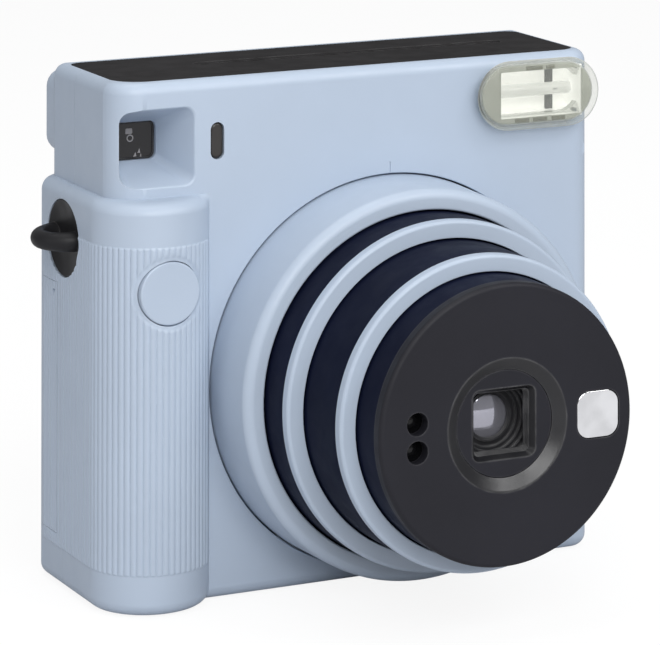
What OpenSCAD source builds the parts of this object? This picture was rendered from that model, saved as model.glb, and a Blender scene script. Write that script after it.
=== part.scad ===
// Instant camera for square film. Millimetres. +Z is up, the lens looks along -Y,
// and the origin is the centre of the body's underside.

/* [Body] */
// Width of the body across the grip, without the strap lugs
body_w = 125.8; // [124:0.2:127]
// Depth of the body, from front face to back face
body_d = 40; // [40:0.1:41]
// Height of the body
body_h = 118.6; // [118.2:0.1:119.2]
// Thickness of the moulded covers
wall = 2; // [1.8:0.1:2.2]
// Distance from the front face back to the seam between the two covers
seam_depth = 24.5; // [24:0.1:25]

/* [Grip] */
// Radius of the rounded grip in plan
grip_r = 14.1; // [13.9:0.1:14.3]
// How far the grip stands in front of the front face
grip_bulge = 7.4; // [7:0.1:7.6]
// Height of the ledge at the top of the grip
grip_h = 92.5; // [91:0.5:94]
// Spacing of the grip ribs along the surface
rib_pitch = 1.5; // [1.3:0.1:1.8]
// How far the ribs stand out
rib_height = 0.3; // [0.2:0.05:0.4]

/* [Lens] */
// Lens axis, sideways from the middle of the body
lens_x = 9.2; // [8.8:0.1:9.6]
// Lens axis, height above the underside
lens_z = 47.8; // [47.4:0.1:48.2]
// Outer radius of the turning lens ring
ring_r = 45.2; // [44.8:0.1:45.4]
// How far the lens ring stands in front of the front face
ring_reach = 18.5; // [18:0.1:19]

/* [Film] */
// Width of the print slot in the top
slot_w = 77.4; // [75:0.2:78]
// Diameter of the two print rollers
roller_d = 7; // [6.6:0.1:7]

/* [Hidden] */

half_w = body_w / 2;
front_y = -body_d / 2;
back_y = body_d / 2;
seam_y = front_y + seam_depth;
upper_left_x = -half_w + 3.1;     // the body steps in by this above the grip
edge_r = 3;                       // rounding along the top and bottom edges
grip_c = [-half_w + grip_r, front_y - grip_bulge + grip_r];
grip_end = 270 + acos((grip_r - grip_bulge) / grip_r);     // where the grip meets the front face
grip_end_x = grip_c.x + grip_r * cos(grip_end);
rib_z = [9.3, 82.5];              // bottom and top of the ribbed band
fine = 96;                        // facets on large round surfaces
stage_r = [39.6, 35.2, 31.1];     // outer radius of the three barrel stages
stage_reach = [30, 48.5, 60];     // how far each stage's front stands in front of the front face
pack_size = [78, 16, 90];         // width, thickness and height of the film pack
clear = 0.3;                      // gap round a moving cover part

bore_r = ring_r + clear;          // opening in the front cover round the lens ring
lug_c = [seam_y - 1, 80.6];       // middle of a strap lug's foot, as [y, z]
lug_size = [19.8, 17.6];
film_y = front_y + 22.05;         // plane in which the print leaves the camera
roller_z = 108;
roller_gap = 0.2;
roller_y = [film_y - (roller_d + roller_gap) / 2, film_y + (roller_d + roller_gap) / 2];
gear_m = (roller_d + roller_gap) / 12;     // gear module: two 12-tooth gears span the rollers
chassis_top = 98.2;
chassis_x = [lens_x - pack_size.x / 2 - 2.2, lens_x + pack_size.x / 2 + 2.2];
pack_y = front_y + 21;
pack_z = 6;

battery_c = [-52.2, 9.3];
battery_r = 7.8;
battery_l = 27;
battery_door_y = seam_y + 2.4;
battery_door_z = [12, 70];
battery_knuckle_r = 1.1;
battery_pin_r = 0.5;
battery_hinge = [-50, back_y - battery_knuckle_r];
battery_door_knuckles = [[13, 24], [36, 46], [58, 69]];
battery_cover_knuckles = [[24.3, 35.7], [46.3, 57.7]];

door_hinge = [-34.4, back_y - 1.7];
door_x = [door_hinge.x, 55];
door_z = [5, 101];
latch_x = door_x[1] - 3.6;
knuckle_r = 1.7;
pin_r = 0.75;
screw_depth = 6;                 // from the back face down to the seat of a screw head
screw_at = [[58.4, 8], [58.4, 95], [-40.1, 8], [-40.1, 95]];

button_c = [-48.8, 72.2];
button_r = 7.2;
button_front = front_y - grip_bulge + 0.3;
flash_c = [46.7, 109.6];
flash_size = [32.1, 16.4];
finder_c = [-49.05, 103.65];     // middle of the pocket in the front face
window_c = [-50.1, 103.7];       // axis of the viewfinder behind it
pocket_size = [18.2, 17.7];
window_size = 9.4;
pocket_depth = 11.6;
meter_c = [-34.4, 104.3];
counter_c = [-46, 80];

// ---------- shared outlines and helpers ----------

function arc(c, r, from, to, n = 8) =
    [for (i = [0:n]) c + r * [cos(from + (to - from) * i / n), sin(from + (to - from) * i / n)]];

function rounded(lo, hi, r, n = 6) = concat(
    arc([lo.x + r, lo.y + r], r, 180, 270, n), arc([hi.x - r, lo.y + r], r, 270, 360, n),
    arc([hi.x - r, hi.y - r], r, 0, 90, n), arc([lo.x + r, hi.y - r], r, 90, 180, n));

function stadium(size, n = 16) = concat(
    arc([size.x / 2 - size.y / 2, 0], size.y / 2, -90, 90, n),
    arc([-size.x / 2 + size.y / 2, 0], size.y / 2, 90, 270, n));

// Plan outlines, grown outwards by g (negative for the inside of a wall).
function upper_outline(g = 0) = concat(
    arc([upper_left_x + 8, front_y + 8], 8 + g, 180, 270),
    arc([half_w - 5, front_y + 5], 5 + g, 270, 360),
    arc([half_w - 3, back_y - 3], 3 + g, 0, 90),
    arc([upper_left_x + 3, back_y - 3], 3 + g, 90, 180));

function lower_outline(g = 0) = concat(
    arc([-half_w + 3, front_y + 3], 3 + g, 180, 270),
    arc([half_w - 5, front_y + 5], 5 + g, 270, 360),
    arc([half_w - 3, back_y - 3], 3 + g, 0, 90),
    arc([-half_w + 3, back_y - 3], 3 + g, 90, 180));

module plan(points, z0, z1) { translate([0, 0, z0]) linear_extrude(z1 - z0) polygon(points); }

// Extrudes an outline drawn in X and Z along Y, from y0 to y1.
module across(y0, y1) {
    translate([0, y1, 0]) rotate([90, 0, 0]) linear_extrude(y1 - y0) children();
}

// Extrudes an outline drawn in Y and Z along X, from x0 to x1.
module along(x0, x1) {
    translate([x0, 0, 0]) rotate([90, 0, 90]) linear_extrude(x1 - x0) children();
}

// Puts children on the lens axis: their +Z runs forwards from the front face.
module on_lens_axis() { translate([lens_x, front_y, lens_z]) rotate([90, 0, 0]) children(); }

module disc(r, z0, z1) { translate([0, 0, z0]) cylinder(r = r, h = z1 - z0, $fn = fine); }

module tube(r_out, r_in, z0, z1) {
    difference() {
        disc(r_out, z0, z1);
        disc(r_in, z0 - 1, z1 + 1);
    }
}

// The grip in plan, without its ribs: a round front that runs into the flat left side.
function grip_outline(g = 0) = concat(
    [[-half_w + 18, seam_y + 6], [-half_w - g, seam_y + 6]],
    arc(grip_c, grip_r + g, 180, grip_end - 3, 20),
    [[grip_end_x + g, front_y], [grip_end_x + g, front_y + 4]]);

// Centre lines of the ribs, as [point, outward angle]: round the grip, then back along the left side.
rib_count_front = floor(grip_r * (grip_end - 180) * PI / 180 / rib_pitch - 1);
rib_count_side = floor((back_y - 4 - grip_c.y) / rib_pitch);
ribs = concat(
    [for (i = [0:rib_count_front])
        let (a = 180 + i * rib_pitch / grip_r * 180 / PI) [grip_c + grip_r * [cos(a), sin(a)], a]],
    [for (i = [1:rib_count_side]) [[-half_w, grip_c.y + i * rib_pitch], 180]]);

module rib_band() {
    rib_w = rib_pitch * 0.62;
    for (rib = ribs)
        translate([rib[0].x, rib[0].y, rib_z[0]]) rotate([0, 0, rib[1]])
            linear_extrude(rib_z[1] - rib_z[0])
                polygon([[-0.6, -rib_w / 2], [0, -rib_w / 2], [rib_height, -rib_w / 6],
                    [rib_height, rib_w / 6], [0, rib_w / 2], [-0.6, rib_w / 2]]);
}

// Outside shape of the two covers together, with rounded top and bottom edges.
module outer_shape(g = 0) {
    intersection() {
        plan(upper_outline(g), -g, body_h + g);
        across(front_y - 9, back_y + 9)
            polygon(rounded([upper_left_x - g, -g], [half_w + g, body_h + g], edge_r + g));
        along(-half_w - 9, half_w + 9)
            polygon(rounded([front_y - g, -g], [back_y + g, body_h + g], edge_r + g));
    }
    intersection() {
        plan(lower_outline(g), -g, grip_h + g);
        across(front_y - 9, back_y + 9)
            polygon(rounded([-half_w - g, -g], [half_w + g, grip_h + g], edge_r + g));
        along(-half_w - 9, half_w + 9)
            polygon(rounded([front_y - g, -g], [back_y + g, grip_h + g], edge_r + g));
    }
    intersection() {
        plan(grip_outline(g), -g, grip_h + g);
        across(front_y - 9, back_y + 9)
            polygon(rounded([-half_w - g, -g], [half_w + g, grip_h + g], edge_r + g));
        along(-half_w - 9, half_w + 9)
            polygon(rounded([front_y - grip_bulge - g, -g], [back_y + g, grip_h + g], edge_r + g));
    }
}

// Opening in the top that holds the black panel, and the ledge below it.
panel_lo = [upper_left_x + 2.6, front_y + 2.6];
panel_hi = [half_w - 2.6, back_y - 3.6];
panel_t = 1;
module panel_seat() {
    plan(rounded(panel_lo, panel_hi, 4), body_h - panel_t, body_h + 1);
    plan(rounded(panel_lo + [1.5, 1.5], panel_hi - [1.5, 1.5], 3), body_h - 6, body_h + 1);
}

// ---------- covers ----------

// Bulge on the back that carries the eyepiece.
finder_back_y = back_y + 6.4;
bump_x = [upper_left_x + 0.4, -39.4];
bump_z = [97, 116.4];
module finder_bump(g = 0) {
    intersection() {
        across(back_y - 6, finder_back_y + g)
            polygon(rounded([bump_x[0] - g, bump_z[0] - g], [bump_x[1] + g, bump_z[1] + g], 4 + g));
        plan(rounded([bump_x[0] - g, back_y - 30], [bump_x[1] + g, finder_back_y + g], 3.4 + g),
            0, body_h + 9);
        along(bump_x[0] - 9, bump_x[1] + 9)
            polygon(rounded([back_y - 30, bump_z[0] - g], [finder_back_y + g, bump_z[1] + g], 3.4 + g));
    }
}

module finder_oblong(w, h, r) { polygon(rounded(window_c - [w, h] / 2, window_c + [w, h] / 2, r)); }
module finder_square(size, r) { finder_oblong(size, size, r); }

module finder_pocket(grow, depth) {
    hull() {
        across(front_y - 0.01, front_y)
            polygon(rounded(finder_c - pocket_size / 2 - [grow, grow],
                finder_c + pocket_size / 2 + [grow, grow], 2.5 + grow));
        across(front_y + depth - 0.01, front_y + depth)
            finder_square(window_size + 0.8 + 2 * grow, 1.2 + grow);
    }
}

module front_cover() {
    color("lightsteelblue") difference() {
        union() {
            difference() {
                union() {
                    outer_shape();
                    rib_band();
                }
                outer_shape(-wall);
                translate([-100, seam_y, -10]) cube([200, 100, 200]);
            }
            intersection() {
                finder_pocket(1.6, pocket_depth + 1.2);
                outer_shape();
            }
            for (p = screw_at)
                translate([p.x, seam_y, p.y]) rotate([90, 0, 0])
                    cylinder(r = 3, h = seam_y - front_y - 1, $fn = 32);
            // Sleeve that guides the shutter button
            translate([button_c.x, front_y + 1.6, button_c.y]) rotate([90, 0, 0])
                cylinder(r = button_r + 1.6, h = 4.6, $fn = 64);
        }
        panel_seat();
        on_lens_axis() disc(bore_r, -8, 8);
        finder_pocket(0, pocket_depth);
        across(front_y + pocket_depth - 1, front_y + pocket_depth + 3)
            finder_square(window_size, 1);
        translate([meter_c.x, 0, meter_c.y]) across(front_y - 1, front_y + 6)
            rotate(90) polygon(stadium([8.5, 3.4]));
        translate([button_c.x, front_y + 4, button_c.y]) rotate([90, 0, 0])
            cylinder(r = button_r + 0.15, h = 12, $fn = 64);
        translate([flash_c.x, 0, flash_c.y]) {
            across(front_y - 1, front_y + 2.5)
                polygon(stadium(flash_size + [0.3, 0.3]));
        }
        lug_seats();
        for (p = screw_at)
            translate([p.x, seam_y + 1, p.y]) rotate([90, 0, 0]) cylinder(r = 1.02, h = 12, $fn = 24);
    }
}

// The oval seats that trap the strap lugs between the covers.
module lug_seats() {
    for (side = [-1, 1])
        translate([0, lug_c.x, lug_c.y]) mirror([side < 0 ? 1 : 0, 0, 0])
            along(half_w - 7, half_w + 1) polygon(stadium(lug_size + [0.2, 0.2]));
}

module rear_cover() {
    color("lightsteelblue") difference() {
        union() {
            rear_shell();
            hinge_knuckles(door_hinge, knuckle_r, cover_knuckles);
            hinge_knuckles(battery_hinge, battery_knuckle_r, battery_cover_knuckles);
        }
        hinge_bore(door_hinge, pin_r - 0.02, door_z);
        hinge_bore(battery_hinge, battery_pin_r - 0.02, battery_door_z);
    }
}

module rear_shell() {
    difference() {
        union() {
            difference() {
                union() {
                    outer_shape();
                    rib_band();
                    finder_bump();
                }
                outer_shape(-wall);
                finder_bump(-wall);
                translate([-100, seam_y - 100, -10]) cube([200, 100, 200]);
            }
            for (p = screw_at)
                translate([p.x, back_y - 1, p.y]) rotate([90, 0, 0])
                    cylinder(r = 3, h = back_y - 1 - seam_y, $fn = 32);
        }
        panel_seat();
        lug_seats();
        door_opening(door_hinge, knuckle_r, door_x[1], back_y - 6, door_z, door_knuckles);
        door_opening(battery_hinge, battery_knuckle_r, -half_w - 3, battery_door_y, battery_door_z,
            battery_door_knuckles);
        // Seats for the eyepiece and the film counter window
        across(back_y - 8, finder_back_y + 2) finder_oblong(14, 12, 2);
        across(back_y - 4, back_y + 2)
            polygon(rounded(counter_c + [-4.5, 2.6], counter_c + [4.5, 7.6], 1));
        for (p = screw_at)
            translate([p.x, back_y + 1, p.y]) rotate([90, 0, 0]) {
                cylinder(r = 1.15, h = 40, $fn = 24);
                cylinder(r = 2.2, h = 1 + screw_depth, $fn = 32);
            }
    }
}

// Opening for a hinged leaf: it starts on the hinge axis and runs to x_end, with a notch past the axis
// round each of the leaf's knuckles so that the outer corner of the leaf can turn.
module door_opening(hinge, r, x_end, y0, span, knuckles) {
    side = x_end < hinge.x ? 1 : -1;
    translate([min(hinge.x, x_end), y0, span[0]])
        cube([abs(x_end - hinge.x), back_y + 6 - y0, span[1] - span[0]]);
    for (k = knuckles) {
        translate([hinge.x, hinge.y, k[0] - 0.2]) cylinder(r = r + 0.25, h = k[1] - k[0] + 0.4, $fn = 32);
        translate([hinge.x + side * (r + 0.25) / 2, back_y + 3, (k[0] + k[1]) / 2])
            cube([r + 0.25, 2 * (back_y + 3 - hinge.y), k[1] - k[0] + 0.4], center = true);
    }
}

door_knuckles = [[6, 26], [44, 62], [80, 100]];
cover_knuckles = [[26.3, 43.7], [62.3, 79.7]];
module hinge_knuckles(hinge, r, spans) {
    for (k = spans)
        translate([hinge.x, hinge.y, k[0]]) cylinder(r = r, h = k[1] - k[0], $fn = 32);
}

module hinge_bore(hinge, r, span) {
    translate([hinge.x, hinge.y, span[0] - 3]) cylinder(r = r, h = span[1] - span[0] + 4, $fn = 32);
}

module top_panel() {
    gap = 0.1;
    color("#26262a") difference() {
        plan(rounded(panel_lo + [gap, gap], panel_hi - [gap, gap], 4 - gap), body_h - panel_t, body_h);
        translate([lens_x, film_y, body_h]) linear_extrude(5, center = true)
            polygon(stadium([slot_w, 2.6]));
    }
}

module cover_screws() {
    color("silver") for (p = screw_at)
        translate([p.x, back_y - screw_depth, p.y]) rotate([90, 0, 0]) difference() {
            union() {
                translate([0, 0, -1.3]) cylinder(r = 1.9, h = 1.28, $fn = 32);
                translate([0, 0, -0.1]) cylinder(r = 1, h = 16, $fn = 24);
            }
            for (a = [0, 90])
                rotate([0, 0, a]) translate([-1.2, -0.25, -1.4]) cube([2.4, 0.5, 0.8]);
        }
}

// An oval foot in the side of the body with a half-round loop for the strap.
module strap_lug(side) {
    loop_r = 6.2;
    wire_r = 2.1;
    foot_x = half_w - 0.1;
    flange_x = half_w - wall - 1.6;
    translate([0, lug_c.x, lug_c.y]) mirror([side < 0 ? 1 : 0, 0, 0]) {
        along(foot_x - 3, foot_x) polygon(stadium(lug_size));
        along(flange_x, flange_x + 1.4) polygon(stadium(lug_size + [1.2, 1.2]));
        difference() {
            translate([foot_x - 1.1, seam_y - lug_c.x, 0]) rotate_extrude($fn = 64)
                translate([loop_r, 0]) circle(r = wire_r, $fn = 24);
            translate([foot_x - 20, -20, -20]) cube([20 - 1, 40, 40]);
        }
    }
}
module strap_lug_left() { color("#1a1a1c") strap_lug(-1); }
module strap_lug_right() { color("#1a1a1c") strap_lug(1); }

// ---------- film door ----------

module film_door() {
    gap = 0.3;
    x0 = door_x[0] + knuckle_r + gap;
    color("lightsteelblue") difference() {
        union() {
            translate([x0, back_y - wall, door_z[0] + gap])
                cube([door_x[1] - gap - x0, wall, door_z[1] - door_z[0] - 2 * gap]);
            for (k = door_knuckles)
                translate([door_hinge.x, back_y - 1.6, k[0]]) cube([knuckle_r + 1, 1.6, k[1] - k[0]]);
            hinge_knuckles(door_hinge, knuckle_r, door_knuckles);
        }
        hinge_bore(door_hinge, pin_r + 0.04, door_z);
        // Film check window and the latch's slot
        across(back_y - 3, back_y + 1)
            polygon(rounded([lens_x - 8, 60], [lens_x + 8, 70], 1.5));
        translate([latch_x - 1.5, back_y - 4, 44]) cube([3, 6, 18]);
    }
}

module door_hinge_pin() {
    color("silver") translate([door_hinge.x, door_hinge.y, door_z[0] - 2.9])
        cylinder(r = pin_r, h = door_z[1] - door_z[0] + 3.8, $fn = 32);
}

module door_latch() {
    color("#3a3d44") {
        translate([latch_x - 1.3, back_y - wall - 1, 49]) cube([2.6, wall + 2.2, 12.8]);
        translate([latch_x - 2.7, back_y + 0.1, 50]) cube([5.4, 1.3, 11]);
        translate([latch_x - 2.7, back_y - wall - 1.2, 50]) cube([5.4, 1.1, 11]);
    }
}

// Two bowed leaves inside the door that press the film pack forwards.
module door_pressure_spring() {
    bow_r = 131;
    half_angle = 5.2;
    centre_y = back_y - wall - 0.92 + bow_r;
    color("silver") for (z = [32, 78])
        translate([lens_x, centre_y, z - 4]) linear_extrude(8) polygon(concat(
            arc([0, 0], bow_r, -90 - half_angle, -90 + half_angle, 10),
            arc([0, 0], bow_r - 0.3, -90 + half_angle, -90 - half_angle, 10)));
}

module pack_window() {
    color("#c9b56a") across(back_y - 1.5, back_y - 0.4)
        polygon(rounded([lens_x - 7.9, 60.1], [lens_x + 7.9, 69.9], 1.4));
}

// ---------- batteries ----------

// Door that wraps the corner of the body and swings backwards on a pin at its inner edge.
module battery_door() {
    gap = 0.2;
    x1 = battery_hinge.x - battery_knuckle_r - gap;
    color("lightsteelblue") difference() {
        union() {
            difference() {
                intersection() {
                    union() {
                        outer_shape();
                        rib_band();
                    }
                    translate([-half_w - 3, battery_door_y + gap, battery_door_z[0] + gap])
                        cube([x1 + half_w + 3, 40, battery_door_z[1] - battery_door_z[0] - 2 * gap]);
                }
                outer_shape(-wall);
            }
            for (k = battery_door_knuckles)
                translate([x1 - 0.5, battery_hinge.y, k[0]])
                    cube([battery_hinge.x - x1 + 0.5, battery_knuckle_r, k[1] - k[0]]);
            hinge_knuckles(battery_hinge, battery_knuckle_r, battery_door_knuckles);
        }
        hinge_bore(battery_hinge, battery_pin_r + 0.04, battery_door_z);
    }
}

module battery_hinge_pin() {
    color("silver") translate([battery_hinge.x, battery_hinge.y, battery_door_z[0] - 2.9])
        cylinder(r = battery_pin_r, h = battery_door_z[1] - battery_door_z[0] + 3.8, $fn = 32);
}

module battery_box() {
    color("#2b2b2e") difference() {
        translate([-60.7, 0, 10.4]) cube([17.6, back_y - wall - 0.5, 60]);
        translate([battery_c.x, battery_c.y, 12.2]) cylinder(r = battery_r + 0.25, h = 57.4, $fn = 48);
        translate([-70, battery_c.y - battery_r - 0.25, 12.2])
            cube([70 + battery_c.x, 2 * battery_r + 0.5, 57.4]);
    }
}

module battery(z0) {
    translate([battery_c.x, battery_c.y, z0]) {
        cylinder(r = battery_r, h = battery_l - 0.8, $fn = 48);
        translate([0, 0, battery_l - 0.8]) cylinder(r = 3, h = 0.8, $fn = 32);
    }
}
module battery_lower() { color("#3c6e71") battery(13.4); }
module battery_upper() { color("#3c6e71") battery(13.5 + battery_l); }

module battery_contacts() {
    color("gold") for (z = [12.4, 68])
        translate([battery_c.x, battery_c.y, z]) cylinder(r = 5, h = 0.8, $fn = 32);
}

// ---------- film counter ----------

module counter_dial() {
    color("white") translate([counter_c.x, back_y - wall - 0.5, counter_c.y]) rotate([90, 0, 0]) {
        cylinder(r = 8, h = 1.2, $fn = 48);
        translate([0, 0, 1.2]) cylinder(r = 2, h = 2, $fn = 32);
    }
}

module counter_window() {
    color("gray") across(back_y - 1.6, back_y - 0.4)
        polygon(rounded(counter_c + [-4.4, 2.7], counter_c + [4.4, 7.5], 0.9));
}

// ---------- lens ring and telescoping barrel ----------

// Turning ring: a sleeve with a rounded front lip, and three tabs that the front cover traps.
tab_angles = [100, 350, 240];
module lens_ring() {
    lip = 2.4;
    color("lightsteelblue") on_lens_axis() {
        rotate_extrude($fn = fine) polygon(concat(
            [[ring_r - 2, -3.2], [ring_r, -3.2]],
            arc([ring_r - 0.5 - lip, ring_reach - lip], lip, 4, 88, 8),
            arc([40.5, ring_reach - 0.5], 0.5, 90, 180, 3),
            [[40, ring_reach - 2], [ring_r - 2, ring_reach - 2]]));
        for (a = tab_angles)
            rotate([0, 0, a]) translate([ring_r - 1.2, -6, -3.1]) cube([2.6, 12, 0.9]);
    }
}

// Fixed sleeve that carries the lens ring and guides the first stage.
module barrel_base() {
    color("#1d1d20") on_lens_axis() rotate_extrude($fn = fine) polygon([
        [39.9, -6.2], [ring_r + 0.3, -6.2], [ring_r + 0.3, -4], [ring_r - 2.3, -4],
        [ring_r - 2.3, ring_reach - 2.3], [39.9, ring_reach - 2.3]]);
}

stage_wall = 1.5;
stage_back = [2.5, 21.5, 34];        // rear end of each stage's tube, in front of the front face
band = 2.6;                          // depth of the coloured ring on the front of a stage

module stage_tube(i, flange_r) {
    r = stage_r[i];
    color("#22253a") on_lens_axis() rotate_extrude($fn = fine) polygon([
        [r - stage_wall, stage_back[i]], [flange_r, stage_back[i]], [flange_r, stage_back[i] + 1.5],
        [r, stage_back[i] + 1.5], [r, stage_reach[i] - band], [r - stage_wall, stage_reach[i] - band]]);
}

module stage_ring(i, bore) {
    r = stage_r[i];
    round = 0.9;
    color("lightsteelblue") on_lens_axis() rotate_extrude($fn = fine) polygon(concat(
        [[r, stage_reach[i] - band]],
        arc([r - round, stage_reach[i] - round], round, 0, 90, 5),
        [[bore + 0.3, stage_reach[i]], [bore, stage_reach[i] - 0.3],
         [bore, stage_reach[i] - band]]));
}

module barrel_tube_outer() { stage_tube(0, stage_r[0]); }
module barrel_ring_outer() { stage_ring(0, stage_r[1] + 0.35); }
module barrel_tube_middle() { stage_tube(1, stage_r[0] - stage_wall - 0.25); }
module barrel_ring_middle() { stage_ring(1, stage_r[2] + 0.3); }

module barrel_tube_inner() {
    r = stage_r[2];
    color("#22253a") on_lens_axis() rotate_extrude($fn = fine) polygon([
        [r - stage_wall, stage_back[2]], [stage_r[1] - stage_wall - 0.25, stage_back[2]],
        [stage_r[1] - stage_wall - 0.25, stage_back[2] + 1.5], [r, stage_back[2] + 1.5],
        [r, stage_reach[2] - 3], [r - stage_wall, stage_reach[2] - 3]]);
}

hood_r = 11.85;
recess_r = 14.3;
recess_depth = 1.7;
mirror_c = [22.6, 0];
mirror_size = 10.4;
sensor_c = [[-22, 2.55], [-22, -3.6]];
sensor_r = 2.65;

// Black front of the barrel, with the dished recess round the lens.
module lens_front_plate() {
    front = stage_reach[2];
    seat = mirror_size / 2 + 0.1;
    color("#2b2b30") on_lens_axis() difference() {
        rotate_extrude($fn = fine) polygon(concat(
            [[hood_r + 0.05, front - 3], [stage_r[2], front - 3]],
            arc([stage_r[2] - 0.8, front - 0.8], 0.8, 0, 90, 5),
            [[recess_r + 0.3, front], [recess_r, front - 0.1], [hood_r + 0.05, front - recess_depth]]));
        translate([mirror_c.x, mirror_c.y, front - 1])
            linear_extrude(2) polygon(rounded([-seat, -seat], [seat, seat], 3.1));
        for (s = sensor_c)
            translate([s.x, s.y, front - 4]) cylinder(r = sensor_r, h = 6, $fn = 48);
    }
}

module selfie_mirror() {
    color("white") on_lens_axis() translate([mirror_c.x, mirror_c.y, stage_reach[2] - 1])
        linear_extrude(0.9) polygon(rounded(-[1, 1] * mirror_size / 2, [1, 1] * mirror_size / 2, 3));
}

module sensor_lenses() {
    color("#15151a") on_lens_axis() for (s = sensor_c)
        translate([s.x, s.y, stage_reach[2] - 4.2]) cylinder(r = sensor_r + 0.5, h = 1.1, $fn = 32);
}

hood_open = [8.2, 6.9];     // half width of the square opening, at its front and at its back
module lens_hood() {
    front = stage_reach[2] - recess_depth;
    back = front - 3.6;
    color("#232327") on_lens_axis() difference() {
        union() {
            disc(hood_r, back, front);
            disc(hood_r + 1.5, back, front - 1.4);
        }
        hull() {
            translate([0, 0, front]) linear_extrude(0.01)
                polygon(rounded(-[1, 1] * hood_open[0], [1, 1] * hood_open[0], 2));
            translate([0, 0, back + 0.6]) linear_extrude(0.01)
                polygon(rounded(-[1, 1] * hood_open[1], [1, 1] * hood_open[1], 1.2));
        }
        translate([0, 0, back - 1]) linear_extrude(3)
            polygon(rounded(-[1, 1] * hood_open[1], [1, 1] * hood_open[1], 1.2));
    }
}

holder_front = 54.6;
holder_back = 45.4;
// Stepped black tube behind the square opening; it carries the front lens.
module lens_holder() {
    color("#1b1b1e") on_lens_axis() rotate_extrude($fn = fine) polygon([
        [4.2, holder_back], [stage_r[2] - stage_wall - 0.1, holder_back],
        [stage_r[2] - stage_wall - 0.1, holder_back + 1.2], [10.4, holder_back + 1.2],
        [10.4, holder_front], [9, holder_front], [9, 53.4], [8.2, 53.4], [8.2, 52.3], [7.4, 52.3],
        [7.4, 51.2], [6.6, 51.2], [6.6, 50.2], [5.6, 50.2], [5.6, 46.9], [4.2, 46.9]]);
}

function lens_outline(r, bulge, edge, n = 8) =
    let (big = (r * r + bulge * bulge) / (2 * bulge), a = asin(r / big))
    concat([for (i = [0:n]) big * [sin(a * i / n), cos(a * i / n) - 1]],
        [for (i = [n:-1:0]) [big * sin(a * i / n), -2 * bulge - edge - big * (cos(a * i / n) - 1)]]);

module front_lens() {
    color("#9fb4c8") on_lens_axis() translate([0, 0, 50.6])
        rotate_extrude($fn = 64) polygon(lens_outline(5.4, 1.1, 1));
}

module rear_lens() {
    color("#9fb4c8") on_lens_axis() translate([0, 0, 43.2])
        rotate_extrude($fn = 64) polygon(lens_outline(6.4, 0.8, 1));
}

blade_z = [39.2, 38.6];
blade_pivot = [[-9, -5], [9, -5]];
module shutter_plate() {
    color("#39393d") on_lens_axis() difference() {
        union() {
            tube(13, 6.6, 39.8, 45.3);
            disc(13, 39.8, 40.3);
            for (p = blade_pivot) translate([p.x, p.y, 37.8]) cylinder(r = 0.8, h = 2.4, $fn = 24);
        }
        disc(4, 39, 41);
    }
}

module shutter_blade(i) {
    dir = i == 0 ? 1 : -1;
    p = blade_pivot[i];
    on_lens_axis() translate([p.x, p.y, blade_z[i]]) difference() {
        linear_extrude(0.3) polygon(concat(
            arc([0, 0], 1.8, dir > 0 ? 150 : -70, dir > 0 ? 250 : 30, 6),
            arc([dir * 9, 5.2], 5, dir > 0 ? -75 : 110, dir > 0 ? 70 : 255, 12)));
        translate([0, 0, -1]) cylinder(r = 0.85, h = 3, $fn = 24);
    }
}
module shutter_blade_left() { color("#101012") shutter_blade(0); }
module shutter_blade_right() { color("#101012") shutter_blade(1); }

// ---------- shutter button ----------

module shutter_button() {
    color("lightsteelblue") translate([button_c.x, 0, button_c.y]) rotate([90, 0, 0]) {
        rotate_extrude($fn = 64) polygon(concat(
            [[0, -front_y - 3.2], [button_r + 1.1, -front_y - 3.2], [button_r + 1.1, -front_y - 2.2],
             [button_r, -front_y - 2.2]],
            arc([button_r - 0.5, -button_front - 0.5], 0.5, 0, 90, 4), [[0, -button_front]]));
        translate([0, 0, -front_y - 5]) cylinder(r = 2, h = 2, $fn = 32);
    }
}

// Two bent leaves between the back of the button and the switch.
module button_spring() {
    color("silver") for (side = [-1, 1])
        translate([button_c.x, front_y + 7.5, button_c.y - 1.5]) mirror([side < 0 ? 1 : 0, 0, 0])
            linear_extrude(3) polygon([[4.4, 0], [6.6, 0], [6.6, -0.3], [5, -0.3],
                [3.5, -4], [2.6, -4.25], [3.2, -3.8]]);
}

module shutter_switch() {
    color("#2f4f3a") translate([button_c.x, 0, button_c.y]) {
        translate([-7, front_y + 7.6, -6]) cube([14, 1.2, 12]);
        translate([0, front_y + 7.6, 0]) rotate([90, 0, 0]) cylinder(r = 1.6, h = 1.2, $fn = 24);
    }
}

module light_meter_window() {
    color("#3b3735") translate([meter_c.x, 0, meter_c.y]) {
        across(front_y + 0.3, front_y + 1.9) rotate(90) polygon(stadium([8.3, 3.2]));
        across(front_y + wall + 0.1, front_y + wall + 1.4) rotate(90) polygon(stadium([11, 6]));
        across(front_y + 1.8, front_y + wall + 0.2) rotate(90) polygon(stadium([8.3, 3.2]));
    }
}

// ---------- flash ----------

module flash_cover() {
    reach = 4.5;
    color("white") translate([flash_c.x, 0, flash_c.y]) difference() {
        union() {
            across(front_y - reach + 0.7, front_y + 2.3) polygon(stadium(flash_size));
            across(front_y - reach, front_y - reach + 0.8) polygon(stadium(flash_size - [1.2, 1.2]));
        }
        across(front_y - reach + 1.3, front_y + 4) polygon(stadium(flash_size - [2.6, 2.6]));
    }
}

module flash_reflector() {
    w = 22.4;
    h = 10.8;
    color("silver") translate([flash_c.x + 1.2, 0, flash_c.y]) difference() {
        across(front_y - 2.6, front_y + 8.4) polygon(rounded(-[w, h] / 2, [w, h] / 2, 1));
        along(-w / 2 + 0.6, w / 2 - 0.6)
            polygon(concat([[front_y - 4, h / 2 - 0.6], [front_y - 2, h / 2 - 0.6]],
                arc([front_y + 2.4, 0], h / 2 - 0.8, 90, -90, 12),
                [[front_y - 2, -h / 2 + 0.6], [front_y - 4, -h / 2 + 0.6]]));
    }
}

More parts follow.
